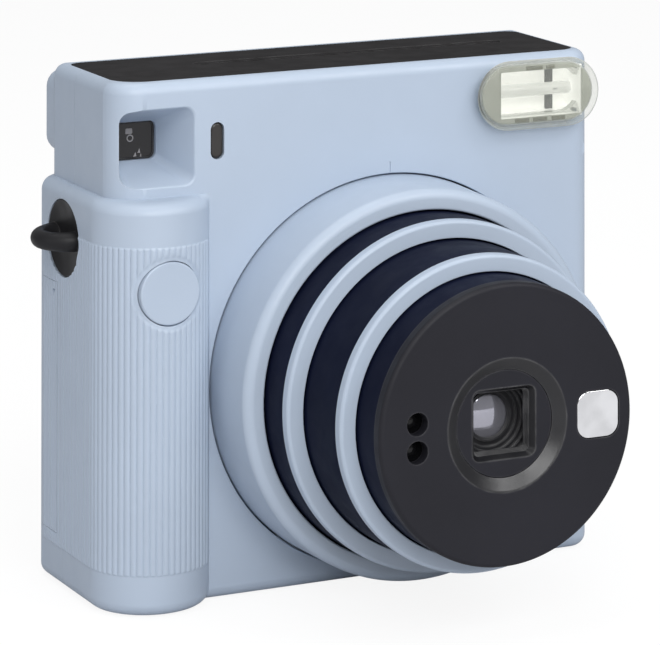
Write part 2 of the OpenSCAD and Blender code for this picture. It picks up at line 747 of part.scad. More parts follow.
module flash_tube() {
    color("white") translate([flash_c.x + 1.2 - 10.4, front_y + 3, flash_c.y]) rotate([0, 90, 0])
        cylinder(r = 1.7, h = 20.8, $fn = 32);
}

module flash_capacitor() {
    color("#20242c") translate([-50, front_y + 8.6, 14]) cylinder(r = 6.2, h = 42, $fn = 48);
}

// ---------- viewfinder ----------

module viewfinder_window() {
    color("#2a3036") across(front_y + pocket_depth + 1.3, front_y + pocket_depth + 2.5)
        finder_square(11.8, 1.5);
}

module viewfinder_tunnel() {
    color("#1b1b1e") difference() {
        across(front_y + pocket_depth + 2.6, back_y - 0.5) finder_square(11.8, 1.5);
        across(front_y + pocket_depth, back_y + 1) finder_square(9.6, 1);
    }
}

module eyepiece_frame() {
    color("#1b1b1e") difference() {
        union() {
            across(back_y - 0.4, finder_back_y + 0.1) finder_oblong(13.8, 11.8, 1.9);
            across(finder_back_y + 0.05, finder_back_y + 0.5) finder_oblong(14.8, 13.2, 2.4);
        }
        across(back_y - 2, finder_back_y + 3) finder_oblong(9.2, 7.2, 1);
    }
}

module viewfinder_eyepiece() {
    color("#9fb4c8") across(finder_back_y - 1.6, finder_back_y - 0.2) finder_oblong(9, 7, 0.9);
}

// ---------- chassis, film and rollers ----------

module chassis() {
    x0 = chassis_x[0];
    x1 = chassis_x[1];
    front = front_y + 14.4;
    color("#1b1b1e") difference() {
        translate([x0, front, 3]) cube([x1 - x0, back_y - wall - 2.2 - front, chassis_top - 3]);
        // Room for the film pack, open at the back and top
        translate([x0 + 2, pack_y - 0.2, pack_z - 0.2]) cube([x1 - x0 - 4, 40, 120]);
        // Light path from the barrel to the film, narrowing to the picture area
        translate([lens_x, 0, lens_z]) {
            translate([-33, front - 1, -33]) cube([66, 4, 66]);
            translate([-31.5, front, -31.5]) cube([63, 40, 63]);
        }
    }
    // Cone that closes the gap between the barrel base and the chassis
    color("#1b1b1e") on_lens_axis() tube(43.5, 41.2, -14.4, -6.3);
}

module film_pack() {
    s = pack_size;
    color("#222226") difference() {
        translate([lens_x - s.x / 2, pack_y, pack_z]) cube([s.x, s.y, s.z]);
        translate([lens_x - 37, pack_y + 1.2, pack_z + 4.4]) cube([74, s.y - 2.4, 100]);
        translate([lens_x - 31.5, pack_y - 1, lens_z - 31.5]) cube([63, 4, 63]);
    }
}

// Ten sheets of film as one stack, with the slide on top.
module film_sheets() {
    color("whitesmoke") translate([lens_x - 36, pack_y + 1.3, pack_z + 4.6]) cube([72, 6.4, 86]);
}

module film_claw() {
    color("silver") {
        translate([chassis_x[0] - 2.2, pack_y, 12]) cube([1.2, 5, 62]);
        translate([chassis_x[0] - 2.2, pack_y, 12]) cube([1.2, 9, 5]);
    }
}

roller_len = 76;
bearing_x = [lens_x - roller_len / 2 - 2.4, lens_x + roller_len / 2 + 0.9];
module drive_roller() {
    color("silver") translate([lens_x - roller_len / 2, roller_y[0], roller_z]) rotate([0, 90, 0]) {
        cylinder(r = roller_d / 2, h = roller_len, $fn = 48);
        translate([0, 0, -8.6]) cylinder(r = 1.5, h = roller_len + 12.6, $fn = 32);
    }
    color("ivory") {
        gear(12, [roller_y[0], roller_z], 90, gear_x[0], 1.8);
        gear(24, [roller_y[0], roller_z], motor_angle, gear_x[1], 1.8);
    }
}

module pinch_roller() {
    color("silver") translate([lens_x - roller_len / 2, roller_y[1], roller_z]) rotate([0, 90, 0]) {
        cylinder(r = roller_d / 2, h = roller_len, $fn = 48);
        translate([0, 0, -5.6]) cylinder(r = 1.5, h = roller_len + 9.6, $fn = 32);
    }
    color("ivory") gear(12, [roller_y[1], roller_z], -90 + 15, gear_x[0], 1.8);
}

gear_x = [lens_x - roller_len / 2 - 5.6, lens_x - roller_len / 2 - 8.6];
pinion_teeth = 10;
motor_dist = gear_m * (24 + pinion_teeth) / 2;
motor_x = bearing_x[0] + 1.8;
motor_y = front_y + 9.4;
motor_zc = roller_z - sqrt(pow(motor_dist, 2) - pow(roller_y[0] - motor_y, 2));
motor_angle = atan2(motor_y - roller_y[0], roller_z - motor_zc);

// Spur gear on an axis along X, with a tooth pointing at the given angle from straight down towards +Y.
function tooth(teeth, i) = let (
        pitch_r = gear_m * teeth / 2, a = 360 * i / teeth,
        half = 360 / teeth * 0.205, root = pitch_r - 1.15 * gear_m, tip = pitch_r + 0.72 * gear_m)
    [for (p = [[root, -half * 1.35], [pitch_r, -half], [tip, -half * 0.5], [tip, half * 0.5], [pitch_r, half],
        [root, half * 1.35]]) p[0] * [cos(a + p[1]), sin(a + p[1])]];

module gear(teeth, centre, angle, x, thick) {
    translate([x, centre.x, centre.y]) rotate([0, 90, 0]) rotate([0, 0, angle])
        linear_extrude(thick) polygon([for (i = [0:teeth - 1]) each tooth(teeth, i)]);
}

// End plates that stand on the chassis and hold the rollers and the flap.
module roller_bearings() {
    color("#39393d") for (x = bearing_x) difference() {
        along(x, x + 1.5)
            polygon(rounded([roller_y[0] - 3.8, chassis_top + 0.1],
                [roller_y[1] + 3.8, flap_hinge.y + 1.4], 1.3));
        for (y = roller_y)
            translate([x - 1, y, roller_z]) rotate([0, 90, 0]) cylinder(r = 1.54, h = 4, $fn = 32);
        translate([x - 1, flap_hinge.x, flap_hinge.y]) rotate([0, 90, 0]) cylinder(r = 0.65, h = 4, $fn = 24);
    }
}

module drive_motor() {
    color("silver") translate([motor_x, motor_y, motor_zc]) rotate([0, 90, 0]) difference() {
        cylinder(r = 6.6, h = 22, $fn = 48);
        translate([0, 0, -1]) cylinder(r = 1.04, h = 4, $fn = 24);
    }
}

module motor_pinion() {
    color("gold") {
        gear(pinion_teeth, [motor_y, motor_zc], motor_angle + 180 + 180 / pinion_teeth, gear_x[1], 1.8);
        translate([gear_x[1] + 1.8, motor_y, motor_zc]) rotate([0, 90, 0])
            cylinder(r = 1, h = motor_x + 2.5 - gear_x[1] - 1.8, $fn = 24);
    }
}

// Light-tight flap over the rollers, hinged along its rear edge; a print lifts it on the way out.
flap_hinge = [film_y + 2.4, roller_z + 4.9];
module slot_flap() {
    color("#1a1a1c") translate([lens_x, flap_hinge.x, flap_hinge.y]) {
        translate([-39.6, 0, 0]) rotate([0, 90, 0]) cylinder(r = 0.6, h = 79.2, $fn = 24);
        translate([-38, -4.6, -0.2]) cube([76, 4.6, 0.5]);
    }
}

module circuit_board() {
    color("#2f6b45") translate([-57, front_y + 18.2, 8]) cube([13, 1.6, 84]);
    color("#202024") {
        translate([-55, front_y + 17, 66]) cube([9, 1.3, 9]);
        translate([-54, front_y + 16.6, 76]) cube([6, 1.7, 10]);
    }
}

front_cover();
rear_cover();
top_panel();
cover_screws();
strap_lug_left();
strap_lug_right();
film_door();
door_hinge_pin();
door_latch();
door_pressure_spring();
pack_window();
battery_door();
battery_hinge_pin();
battery_box();
battery_upper();
battery_lower();
battery_contacts();
counter_dial();
counter_window();
lens_ring();
barrel_base();
barrel_tube_outer();
barrel_ring_outer();
barrel_tube_middle();
barrel_ring_middle();
barrel_tube_inner();
lens_front_plate();
lens_hood();
lens_holder();
front_lens();
rear_lens();
shutter_plate();
shutter_blade_left();
shutter_blade_right();
selfie_mirror();
sensor_lenses();
shutter_button();
button_spring();
shutter_switch();
light_meter_window();
flash_cover();
flash_reflector();
flash_tube();
flash_capacitor();
viewfinder_window();
viewfinder_tunnel();
viewfinder_eyepiece();
eyepiece_frame();
chassis();
film_pack();
film_sheets();
film_claw();
drive_roller();
pinch_roller();
roller_bearings();
drive_motor();
motor_pinion();
slot_flap();
circuit_board();
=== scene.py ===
"""Looks of an instant film camera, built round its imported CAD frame.

Lengths are millimetres in the part's own frame: +Z up, the lens looks along -Y, the grip is at -X.
solid() turns them into metres. Each new piece rides on a CAD body, and most of them stand for a CAD node.
"""

import math

import bmesh
import bpy
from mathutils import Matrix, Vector


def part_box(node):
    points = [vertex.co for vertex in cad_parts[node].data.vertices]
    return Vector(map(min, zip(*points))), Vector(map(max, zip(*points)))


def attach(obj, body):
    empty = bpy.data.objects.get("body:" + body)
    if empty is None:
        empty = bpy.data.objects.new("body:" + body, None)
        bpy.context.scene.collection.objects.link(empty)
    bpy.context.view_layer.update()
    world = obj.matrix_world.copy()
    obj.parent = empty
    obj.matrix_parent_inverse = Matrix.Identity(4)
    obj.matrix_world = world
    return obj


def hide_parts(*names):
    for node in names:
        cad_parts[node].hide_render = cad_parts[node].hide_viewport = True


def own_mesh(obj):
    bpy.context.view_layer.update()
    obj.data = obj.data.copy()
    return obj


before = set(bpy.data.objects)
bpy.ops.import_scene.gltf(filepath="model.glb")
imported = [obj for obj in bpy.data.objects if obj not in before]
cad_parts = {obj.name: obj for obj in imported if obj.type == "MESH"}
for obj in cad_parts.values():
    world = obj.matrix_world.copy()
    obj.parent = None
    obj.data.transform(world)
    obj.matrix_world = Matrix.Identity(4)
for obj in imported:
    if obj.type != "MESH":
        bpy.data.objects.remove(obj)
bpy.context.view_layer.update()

MM = 0.001


# ---------- sizes, read from the frame ----------

def node_box(node):
    """Lowest and highest corners of a CAD node, in millimetres."""
    low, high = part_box(node)
    return low / MM, high / MM


def node_centre(node):
    low, high = node_box(node)
    return (low + high) / 2


WALL = 2
HEIGHT = node_box("front_cover")[1].z
SEAM_Y = node_box("front_cover")[1].y
HALF_W = node_box("rear_cover")[1].x
BACK_Y = node_box("film_door")[1].y
FRONT_Y = -BACK_Y
UPPER_X = node_box("top_panel")[0].x - 2.7      # left side above the ledge
LEDGE_Z = 92.5                                  # top of the grip
EDGE = 2.9                                      # rounding along the body's top and bottom edges
RIB = 0.3
GRIP_R = 14.1
GRIP_Y = node_box("front_cover")[0].y + RIB     # foremost line of the grip
GRIP = (-HALF_W + GRIP_R, GRIP_Y + GRIP_R)
PITCH = 1.5
PER_RIB = 8                                     # points across one rib of the grip
FRONT_RIBS = 23
SIDE_RIBS = 19
RIB_BAND = (9.3, 82.5)
CORNER_R = 8
CORNER = (UPPER_X + CORNER_R, FRONT_Y + CORNER_R)

LENS = node_centre("barrel_tube_outer")
BUTTON = node_centre("shutter_button")
FLASH = node_centre("flash_cover")
METER = node_centre("light_meter_window")
WINDOW = node_centre("viewfinder_window")
LUG_Z = node_centre("strap_lug_left").z
FOOT_Y = SEAM_Y - 1                             # the strap lug's foot is an oval round this line
FOOT_STRETCH = 1.12
POCKET = (WINDOW.x + 1.05, WINDOW.z - 0.05)
SCREWS = ((58.4, 8), (58.4, 95), (-40.1, 8), (-40.1, 95))
PANEL_LO, PANEL_HI = node_box("top_panel")
DOOR_LO, DOOR_HI = node_box("film_door")
BATTERY_LO, BATTERY_HI = node_box("battery_door")
FLASH_SIZE = (32.1, 16.4)
FLASH_TAPER = 1.9                               # the cover narrows by this much towards the body
FINE = 192


# ---------- outlines ----------

def arc(cx, cy, r, start, end, n=8):
    first, step = math.radians(start), math.radians(end - start) / n
    return [(cx + r * math.cos(first + step * i), cy + r * math.sin(first + step * i)) for i in range(n + 1)]


def rounded(w, h, r, n=6):
    x, y = w / 2 - r, h / 2 - r
    return (arc(-x, -y, r, 180, 270, n) + arc(x, -y, r, 270, 360, n)
            + arc(x, y, r, 0, 90, n) + arc(-x, y, r, 90, 180, n))


def stadium(w, h, n=20):
    x = abs(w - h) / 2
    if w > h:
        return arc(x, 0, h / 2, -90, 90, n) + arc(-x, 0, h / 2, 90, 270, n)
    return arc(0, -x, w / 2, 180, 360, n) + arc(0, x, w / 2, 0, 180, n)


def moved(outline, u, v):
    return [(p[0] + u, p[1] + v) for p in outline]


def rounded_at(u, v, w, h, r, n=6):
    """A rounded rectangle about (u, v), as a function of how far it's inset."""
    return lambda g: moved(rounded(w - 2 * g, h - 2 * g, max(r - g, 0.02), n), u, v)


def at_window(w, h, r, n=6):
    return rounded_at(WINDOW.x, WINDOW.z, w, h, r, n)


def stadium_at(u, v, w, h):
    return lambda g: moved(stadium(w - 2 * g, h - 2 * g), u, v)


def smooth_step(t):
    t = min(max(t, 0), 1)
    return t * t * (3 - 2 * t)


# ---------- solids ----------

PLACE = {"x": lambda u, v, t: (t, u, v), "y": lambda u, v, t: (u, t, v), "z": lambda u, v, t: (u, v, t)}


def shown(obj):
    bpy.context.scene.collection.objects.link(obj)
    return obj


def solid(name, points, faces):
    mesh = bpy.data.meshes.new(name)
    mesh.from_pydata([(x * MM, y * MM, z * MM) for x, y, z in points], [], faces)
    bm = bmesh.new()
    bm.from_mesh(mesh)
    bmesh.ops.remove_doubles(bm, verts=bm.verts, dist=2e-7)
    bmesh.ops.recalc_face_normals(bm, faces=bm.faces)
    bm.to_mesh(mesh)
    bm.free()
    return shown(bpy.data.objects.new(name, mesh))


def loft(name, rings):
    """A closed skin over rings that hold equally many points, with a flat cap at each end."""
    n, last = len(rings[0]), len(rings) - 1
    faces = [(k * n + i, k * n + (i + 1) % n, (k + 1) * n + (i + 1) % n, (k + 1) * n + i)
             for k in range(last) for i in range(n)]
    faces += [tuple(range(n)), tuple(range(last * n, last * n + n))]
    return solid(name, [p for ring in rings for p in ring], faces)


def rounding(edge, end, way, n=5):
    """Stops (inset, place) of a rounded edge, from an end face into the solid, which lies way of it."""
    return [(edge * (1 - math.sin(a)), end + way * edge * (1 - math.cos(a)))
            for a in (math.pi / 2 * k / n for k in range(n + 1))]


def pillow(name, outline, t0, t1, edge0=0.0, edge1=0.0, axis="y"):
    """A solid over outline(inset) from t0 to t1, its end edges rounded by edge0 and edge1."""
    place = PLACE[axis]
    stops = rounding(edge0, t0, 1) if edge0 else [(0, t0)]
    stops += rounding(edge1, t1, -1)[::-1] if edge1 else [(0, t1)]
    return loft(name, [[place(u, v, t) for u, v in outline(g)] for g, t in stops])


def block(name, x, y, z):
    """A box between the given pairs; used to cut with."""
    return pillow(name, lambda g: [(x[0], z[0]), (x[1], z[0]), (x[1], z[1]), (x[0], z[1])], y[0], y[1])


def turned(name, profile, centre=None, axis="y", segments=FINE):
    """Turns a closed outline of (radius, place along the axis) about an axis; by default the lens axis."""
    cu, cv = centre or (LENS.x, LENS.z)
    place, n = PLACE[axis], len(profile)
    points = [place(cu + r * math.cos(a), cv + r * math.sin(a), t)
              for a in (math.tau * k / segments for k in range(segments)) for r, t in profile]
    faces = []
    for k in range(segments):
        after = (k + 1) % segments
        for i in range(n):
            j = (i + 1) % n
            if profile[i][0] or profile[j][0]:
                faces.append((k * n + i, k * n + j, after * n + j, after * n + i))
    return solid(name, points, faces)


def drum(name, r, t0, t1, centre, axis="y", edge=0.0, segments=64):
    """A plain turned cylinder with rounded ends."""
    if not edge:
        return turned(name, [(0, t0), (r, t0), (r, t1), (0, t1)], centre, axis, segments)
    low = arc(r - edge, t0 + edge, edge, -90, 0, 4)
    high = arc(r - edge, t1 - edge, edge, 0, 90, 4)
    return turned(name, [(0, t0)] + low + high + [(0, t1)], centre, axis, segments)


def copy_of(obj, name):
    twin = obj.copy()
    twin.data = obj.data.copy()
    twin.name = name
    return shown(twin)


def apply_modifiers(obj):
    graph = bpy.context.evaluated_depsgraph_get()
    old, mesh = obj.data, bpy.data.meshes.new_from_object(obj.evaluated_get(graph))
    obj.modifiers.clear()
    obj.data = mesh
    bpy.data.meshes.remove(old)


def combine(obj, how, *others):
    for other in others:
        step = obj.modifiers.new("combine", "BOOLEAN")
        step.operation, step.solver, step.object = how, "MANIFOLD", other
        apply_modifiers(obj)
        bpy.data.objects.remove(other)
    return obj


def cut(obj, *others):
    return combine(obj, "DIFFERENCE", *others)


def join(obj, *others):
    return combine(obj, "UNION", *others)


# ---------- materials ----------

def add(tree, kind, settings=None, **inputs):
    """A shader node; inputs are values or the sockets that feed them, with _ for a space in their names."""
    node = tree.nodes.new(kind)
    for key, value in (settings or {}).items():
        setattr(node, key, value)
    for key, value in inputs.items():
        numbered = key[0] == "i" and key[1:].isdigit()
        socket = node.inputs[int(key[1:]) if numbered else key.replace("_", " ")]
        if isinstance(value, bpy.types.NodeSocket):
            tree.links.new(value, socket)
        else:
            socket.default_value = value
    return node


def blank(name):
    material = bpy.data.materials.new(name)
    material.use_nodes = True
    tree = material.node_tree
    where = add(tree, "ShaderNodeTexCoord").outputs["Object"]
    return material, tree, tree.nodes["Principled BSDF"], where


def noise(tree, where, size, detail=3.0, stretch=(1, 1, 1)):
    """Noise with features about size millimetres across, longer along an axis whose stretch is below 1."""
    scaled = add(tree, "ShaderNodeMapping", None, Vector=where, Scale=stretch).outputs[0]
    scale = 1 / (size * MM)
    return add(tree, "ShaderNodeTexNoise", None, Vector=scaled, Scale=scale, Detail=detail).outputs[0]


def spread(tree, value, low, high, start=0.3, end=0.7):
    """Maps noise from start..end to low..high."""
    settings = {"interpolation_type": "SMOOTHSTEP"}
    return add(tree, "ShaderNodeMapRange", settings, i0=value, i1=start, i2=end, i3=low, i4=high).outputs[0]


def tint(tree, amount, first, second):
    mix = add(tree, "ShaderNodeMix", {"data_type": "RGBA"}, i0=amount, i6=(*first, 1), i7=(*second, 1))
    return mix.outputs[2]


def shade(colour, factor):
    return tuple(min(c * factor, 1) for c in colour)


def edges(tree, radius):
    """0 on flat ground, towards 1 on an outside or inside edge."""
    bevel = add(tree, "ShaderNodeBevel", {"samples": 4}, Radius=radius * MM).outputs[0]
    normal = add(tree, "ShaderNodeNewGeometry").outputs["Normal"]
    dot = add(tree, "ShaderNodeVectorMath", {"operation": "DOT_PRODUCT"}, i0=bevel, i1=normal)
    return spread(tree, dot.outputs["Value"], 1, 0, 0.8, 0.995)


def relief(tree, bsdf, height, depth):
    """Raises and lowers the surface by about depth millimetres."""
    bump = add(tree, "ShaderNodeBump", None, Strength=1.0, Distance=depth * MM, Height=height).outputs[0]
    tree.links.new(bump, bsdf.inputs["Normal"])


def settle(bsdf, **values):
    """Sets inputs of a shader to plain values, with _ for a space in their names."""
    for name, value in values.items():
        bsdf.inputs[name.replace("_", " ")].default_value = value


def moulded(name, colour, rough, grain=0.25, depth=0.004, mottle=0.05, wear=0.0, coat=0.0,
            specular=0.5, glow=0.0):
    """Moulded plastic: faint mottling, the mould's fine texture, paler edges where wear is set, and a painted
    glow where glow is set.
    """
    material, tree, bsdf, where = blank(name)
    cloud = noise(tree, where, 28, 4)
    base = tint(tree, spread(tree, cloud, 0, 1), shade(colour, 1 - mottle), shade(colour, 1 + mottle))
    smear = spread(tree, noise(tree, where, 6, 5), rough - 0.05, rough + 0.06)
    if wear:
        rubbed = add(tree, "ShaderNodeMath", {"operation": "MULTIPLY"}, i0=edges(tree, 0.5),
                     i1=spread(tree, noise(tree, where, 3, 4), 0.25 * wear, wear)).outputs[0]
        worn = add(tree, "ShaderNodeMix", {"data_type": "RGBA"}, i0=rubbed, i6=base)
        worn.inputs[7].default_value = (*[c + (1 - c) * 0.35 for c in colour], 1)
        base = worn.outputs[2]
    fine = noise(tree, where, grain, 2)
    pits = noise(tree, where, grain * 6, 3)
    height = add(tree, "ShaderNodeMath", {"operation": "MULTIPLY_ADD"}, i0=pits, i1=0.6, i2=fine).outputs[0]
    tree.links.new(base, bsdf.inputs["Base Color"])
    tree.links.new(smear, bsdf.inputs["Roughness"])
    relief(tree, bsdf, height, depth)
    settle(bsdf, Specular_IOR_Level=specular, Coat_Weight=coat, Coat_Roughness=0.2,
           Emission_Color=(*colour, 1), Emission_Strength=glow)
    return material


def metal(name, colour, rough, stretch=(0.05, 1, 1), depth=0.002):
    """Bare metal with drawn scratches, slight tarnish and uneven polish."""
    material, tree, bsdf, where = blank(name)
    drawn = noise(tree, where, 0.12, 3, stretch)
    base = tint(tree, spread(tree, noise(tree, where, 7, 4), 0, 1), shade(colour, 0.82), colour)
    tree.links.new(base, bsdf.inputs["Base Color"])
    tree.links.new(spread(tree, drawn, rough * 0.7, rough * 1.4), bsdf.inputs["Roughness"])
    relief(tree, bsdf, drawn, depth)
    settle(bsdf, Metallic=1)
    return material


def clear(name, colour, rough, transmission=1.0, metallic=0.0):
    """Clear or tinted plastic and glass, with faint smears that dull its polish."""
    material, tree, bsdf, where = blank(name)
    smear = noise(tree, where, 5, 5)
    base = tint(tree, spread(tree, noise(tree, where, 14, 3), 0, 1), shade(colour, 0.94), colour)
    tree.links.new(base, bsdf.inputs["Base Color"])
    tree.links.new(spread(tree, smear, rough, rough + 0.06), bsdf.inputs["Roughness"])
    settle(bsdf, Transmission_Weight=transmission, Metallic=metallic, IOR=1.49)
    return material


def glazing(name, colour, rim, least):
    """Thin clear plastic seen straight through, milky towards its edges, with a reflection on top."""
    material, tree, bsdf, where = blank(name)
    smear = noise(tree, where, 4, 5)
    tree.links.new(tint(tree, spread(tree, smear, 0, 1), shade(rim, 0.85), rim), bsdf.inputs["Base Color"])
    tree.links.new(spread(tree, smear, 0.04, 0.12), bsdf.inputs["Roughness"])
    facing = add(tree, "ShaderNodeLayerWeight", None, Blend=0.5).outputs["Facing"]
    share = spread(tree, facing, least, 0.9, 0.25, 0.75)
    through = add(tree, "ShaderNodeBsdfTransparent", None, Color=(*colour, 1)).outputs[0]
    mix = add(tree, "ShaderNodeMixShader", None, i0=share, i1=through, i2=bsdf.outputs[0]).outputs[0]
    tree.links.new(mix, tree.nodes["Material Output"].inputs["Surface"])
    return material


SHELL_BLUE = (0.41, 0.482, 0.585)
FINISH = {
    "shell": moulded("shell", SHELL_BLUE, 0.42, 0.2, 0.003, 0.018, 0.35),
    "black": moulded("black", (0.014, 0.014, 0.016), 0.45, 0.22, 0.006, 0.2, 0.2, specular=0.25),
    "panel": moulded("panel", (0.016, 0.015, 0.016), 0.6, 0.3, 0.01, 0.15, 0.2, specular=0.12),
    "navy": moulded("navy", (0.005, 0.007, 0.021), 0.46, 0.18, 0.003, 0.15, 0.1, specular=0.04),
    "sheen": moulded("sheen", (0.008, 0.008, 0.01), 0.35, 0.16, 0.012, 0.12, 0.2, specular=0.6),
    "lens_black": moulded("lens_black", (0.006, 0.006, 0.007), 0.2, 0.3, 0.0, 0.2, 0, specular=0.35),
    "plate": moulded("plate", (0.013, 0.013, 0.018), 0.55, 0.2, 0.006, 0.1, 0.2, specular=0.25),
    "rubber": moulded("rubber", (0.018, 0.018, 0.019), 0.72, 0.4, 0.02, 0.2, specular=0.3),
    "white": moulded("white", (0.72, 0.72, 0.69), 0.55, 0.3, 0.004, 0.03),
    "board": moulded("board", (0.02, 0.11, 0.05), 0.4, 0.8, 0.02, 0.25),
    "cap": moulded("cap", (0.018, 0.02, 0.032), 0.28, 1.2, 0.01, 0.2, 0, 0.4),
    "bezel": moulded("bezel", (0.4, 0.41, 0.35), 0.35, 0.3, 0.004, 0.12, 0.2),
    "olive": moulded("olive", (0.13, 0.13, 0.075), 0.4, 0.3, 0.004, 0.3, 0.2),
    # The unfired flash tube, with a faint painted glow
    "lamp": moulded("lamp", (0.9, 0.9, 0.9), 0.12, 0.5, 0.0, 0.03, 0, 0.5, glow=0.12),
    # Grey of the finder's target ring, also used for the painted patch and glints on its pane
    "mark": moulded("mark", (0.22, 0.21, 0.21), 0.4, 0.2, 0.002, 0.2),
    # White of the flash reflector, with a painted glow standing in for the light it bounces
    "satin_painted_glow": moulded("satin_painted_glow", (0.95, 0.95, 0.935), 0.22, 0.5, 0.002, 0.03, 0, 0.5, glow=0.34),
    "steel": metal("steel", (0.62, 0.62, 0.63), 0.3),
    "brass": metal("brass", (0.72, 0.52, 0.2), 0.28),
    "mirror": metal("mirror", (0.96, 0.965, 0.975), 0.03, (1, 1, 1), 0.0),
    "glass": clear("glass", (0.46, 0.46, 0.52), 0.05, 0.0, 0.7),
    "smoked": clear("smoked", (0.007, 0.0065, 0.008), 0.05, 0.0),
    "meter": clear("meter", (0.03, 0.027, 0.025), 0.2, 0.0),
    "amber": clear("amber", (0.5, 0.36, 0.1), 0.08, 0.55),
    "diffuser": glazing("diffuser", (0.985, 0.988, 0.975), (0.58, 0.6, 0.56), 0.16),
    "prisms": glazing("prisms", (0.99, 0.99, 0.98), (0.8, 0.82, 0.78), 0.03),
    "pane": clear("pane", (0.9, 0.93, 0.95), 0.02, 1.0),
}


def merge_flats(obj):
    """Turns neighbouring faces in one plane into a single face, so that their shading stays flat."""
    bm = bmesh.new()
    bm.from_mesh(obj.data)
    bmesh.ops.dissolve_limit(bm, angle_limit=math.radians(0.05), verts=bm.verts, edges=bm.edges)
    bm.to_mesh(obj.data)
    bm.free()


def piece(obj, body, finish, *nodes, angle=32, slot=None):
    """Finishes a new piece: shading, material, the body it rides on and the CAD nodes it stands for."""
    merge_flats(obj)
    mesh = obj.data
    mesh.shade_smooth()
    mesh.set_sharp_from_angle(angle=math.radians(angle))
    even = obj.modifiers.new("even_normals", "WEIGHTED_NORMAL")
    even.keep_sharp = True
    mesh.materials.clear()
    mesh.materials.append(FINISH[finish])
    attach(obj, body)
    if nodes:
        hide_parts(*nodes)
    return obj


def keep(finish, *nodes, bevel=0.12):
    """Gives CAD nodes that stay in view their material and soft edges."""
    for node in nodes:
        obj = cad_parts[node]
        obj.data.materials.clear()
        obj.data.materials.append(FINISH[finish])
        weld = obj.modifiers.new("weld", "WELD")
        weld.merge_threshold = 0.002 * MM
        if bevel:
            soft = obj.modifiers.new("soft_edges", "BEVEL")
            soft.width, soft.segments = bevel * MM, 2
            soft.limit_method, soft.angle_limit = "ANGLE", math.radians(40)
        even = obj.modifiers.new("even_normals", "WEIGHTED_NORMAL")
        even.keep_sharp = True


# ---------- the body's skin ----------

def edge_inset(height, radius):
    """How far a rounded edge lies inside the wall, at this distance from the end face."""
    if height >= radius:
        return 0
    return radius - math.sqrt(max(radius ** 2 - (radius - height) ** 2, 0))


def upper_reach(angle, g):
    """Distance from the grip's centre line to the upper body's wall inset by g, in one direction."""
    c, s = math.cos(angle), math.sin(angle)
    reach = (FRONT_Y + g - GRIP[1]) / s if s < -0.001 else math.inf
    if c < -0.001:
        reach = min(reach, (UPPER_X + g - GRIP[0]) / c)
    if GRIP[0] + reach * c < CORNER[0] and GRIP[1] + reach * s < CORNER[1]:
        ox, oy = GRIP[0] - CORNER[0], GRIP[1] - CORNER[1]
        along = ox * c + oy * s
        reach = -along + math.sqrt(along ** 2 - ox ** 2 - oy ** 2 + (CORNER_R - g) ** 2)
    return reach


def rib_rise(along, x, z):
    """Height of the reeded surface: zero off the band, and round the shutter button."""
    u = ((along / PITCH + 0.5) % 1) * 2 - 1
    band = smooth_step((z - RIB_BAND[0] + 0.3) / 0.6) * smooth_step((RIB_BAND[1] + 0.3 - z) / 0.6)
    clear_of_button = smooth_step((math.hypot(x - BUTTON.x, z - BUTTON.z) - 8.1) / 0.5)
    return RIB * max(math.cos(math.pi / 2 * u), 0) ** 0.6 * band * clear_of_button


def skin_ring(z, inset, ribbed):
    edge = EDGE - inset
    g = inset + edge_inset(min(z - inset, HEIGHT - inset - z), edge)
    on_grip = z < LEDGE_Z - inset + 0.01
    ledge = edge_inset(LEDGE_Z - inset - z, edge) if on_grip else 0
    side_x = (-HALF_W + ledge if on_grip else UPPER_X) + g
    ring = arc(side_x - g + 3, BACK_Y - 3, 3 - g, 90, 180, 6)
    step = PITCH / PER_RIB
    for k in range(SIDE_RIBS * PER_RIB + PER_RIB // 2, 0, -1):
        rise = rib_rise(-k * step, -200, z) if ribbed else 0
        ring.append((side_x - rise, GRIP[1] + k * step))
    last = math.tau - math.asin((GRIP[1] - FRONT_Y - g) / (GRIP_R - g))
    angles = [math.pi + k * step / GRIP_R for k in range(FRONT_RIBS * PER_RIB + PER_RIB // 2 + 1)] + [last]
    for k, angle in enumerate(angles):
        reach = upper_reach(angle, g)
        if on_grip:
            full = GRIP_R - g
            reach = max(reach, full - ledge * min(max(full - reach, 0) / EDGE, 1.35))
        x = GRIP[0] + reach * math.cos(angle)
        rise = rib_rise(k * step, x, z) if ribbed and angle < last else 0
        ring.append((x + rise * math.cos(angle), GRIP[1] + (reach + rise) * math.sin(angle)))
    ring += arc(HALF_W - 5, FRONT_Y + 5, 5 - g, 270, 360, 10)
    ring += arc(HALF_W - 3, BACK_Y - 3, 3 - g, 0, 90, 6)
    return [(x, y, z) for x, y in ring]


def skin(name, inset=0.0, ribbed=False):
    """The outside of both covers, or the inside of their walls when inset."""
    edge, n = EDGE - inset, 7
    rise = [edge * (1 - math.cos(math.pi / 2 * k / n)) for k in range(n + 1)]
    levels = [inset + h for h in rise]
    if ribbed:
        ends = (-0.3, -0.1, 0.1, 0.3)
        levels += [RIB_BAND[0] + e for e in ends]
        levels += [BUTTON.z - 8.8 + 0.4 * k for k in range(45)]
        levels += [RIB_BAND[1] + e for e in ends]
    levels += [LEDGE_Z - inset - h for h in reversed(rise)]
    levels += [LEDGE_Z - inset + 0.02]
    levels += [HEIGHT - inset - h for h in reversed(rise)]
    return loft(name, [skin_ring(z, inset, ribbed) for z in levels])


def finder_bump(inset):
    """The bulge on the back that carries the eyepiece."""
    lo, hi = (UPPER_X + 0.4, 97), (-39.4, HEIGHT - 2.2)
    outline = rounded_at((lo[0] + hi[0]) / 2, (lo[1] + hi[1]) / 2, hi[0] - lo[0] - 2 * inset,
                         hi[1] - lo[1] - 2 * inset, 4 - inset)
    return pillow("bump", outline, BACK_Y - 1.5 - inset * 3, BACK_Y + 6.4 - inset, 0, 3.3 - inset)


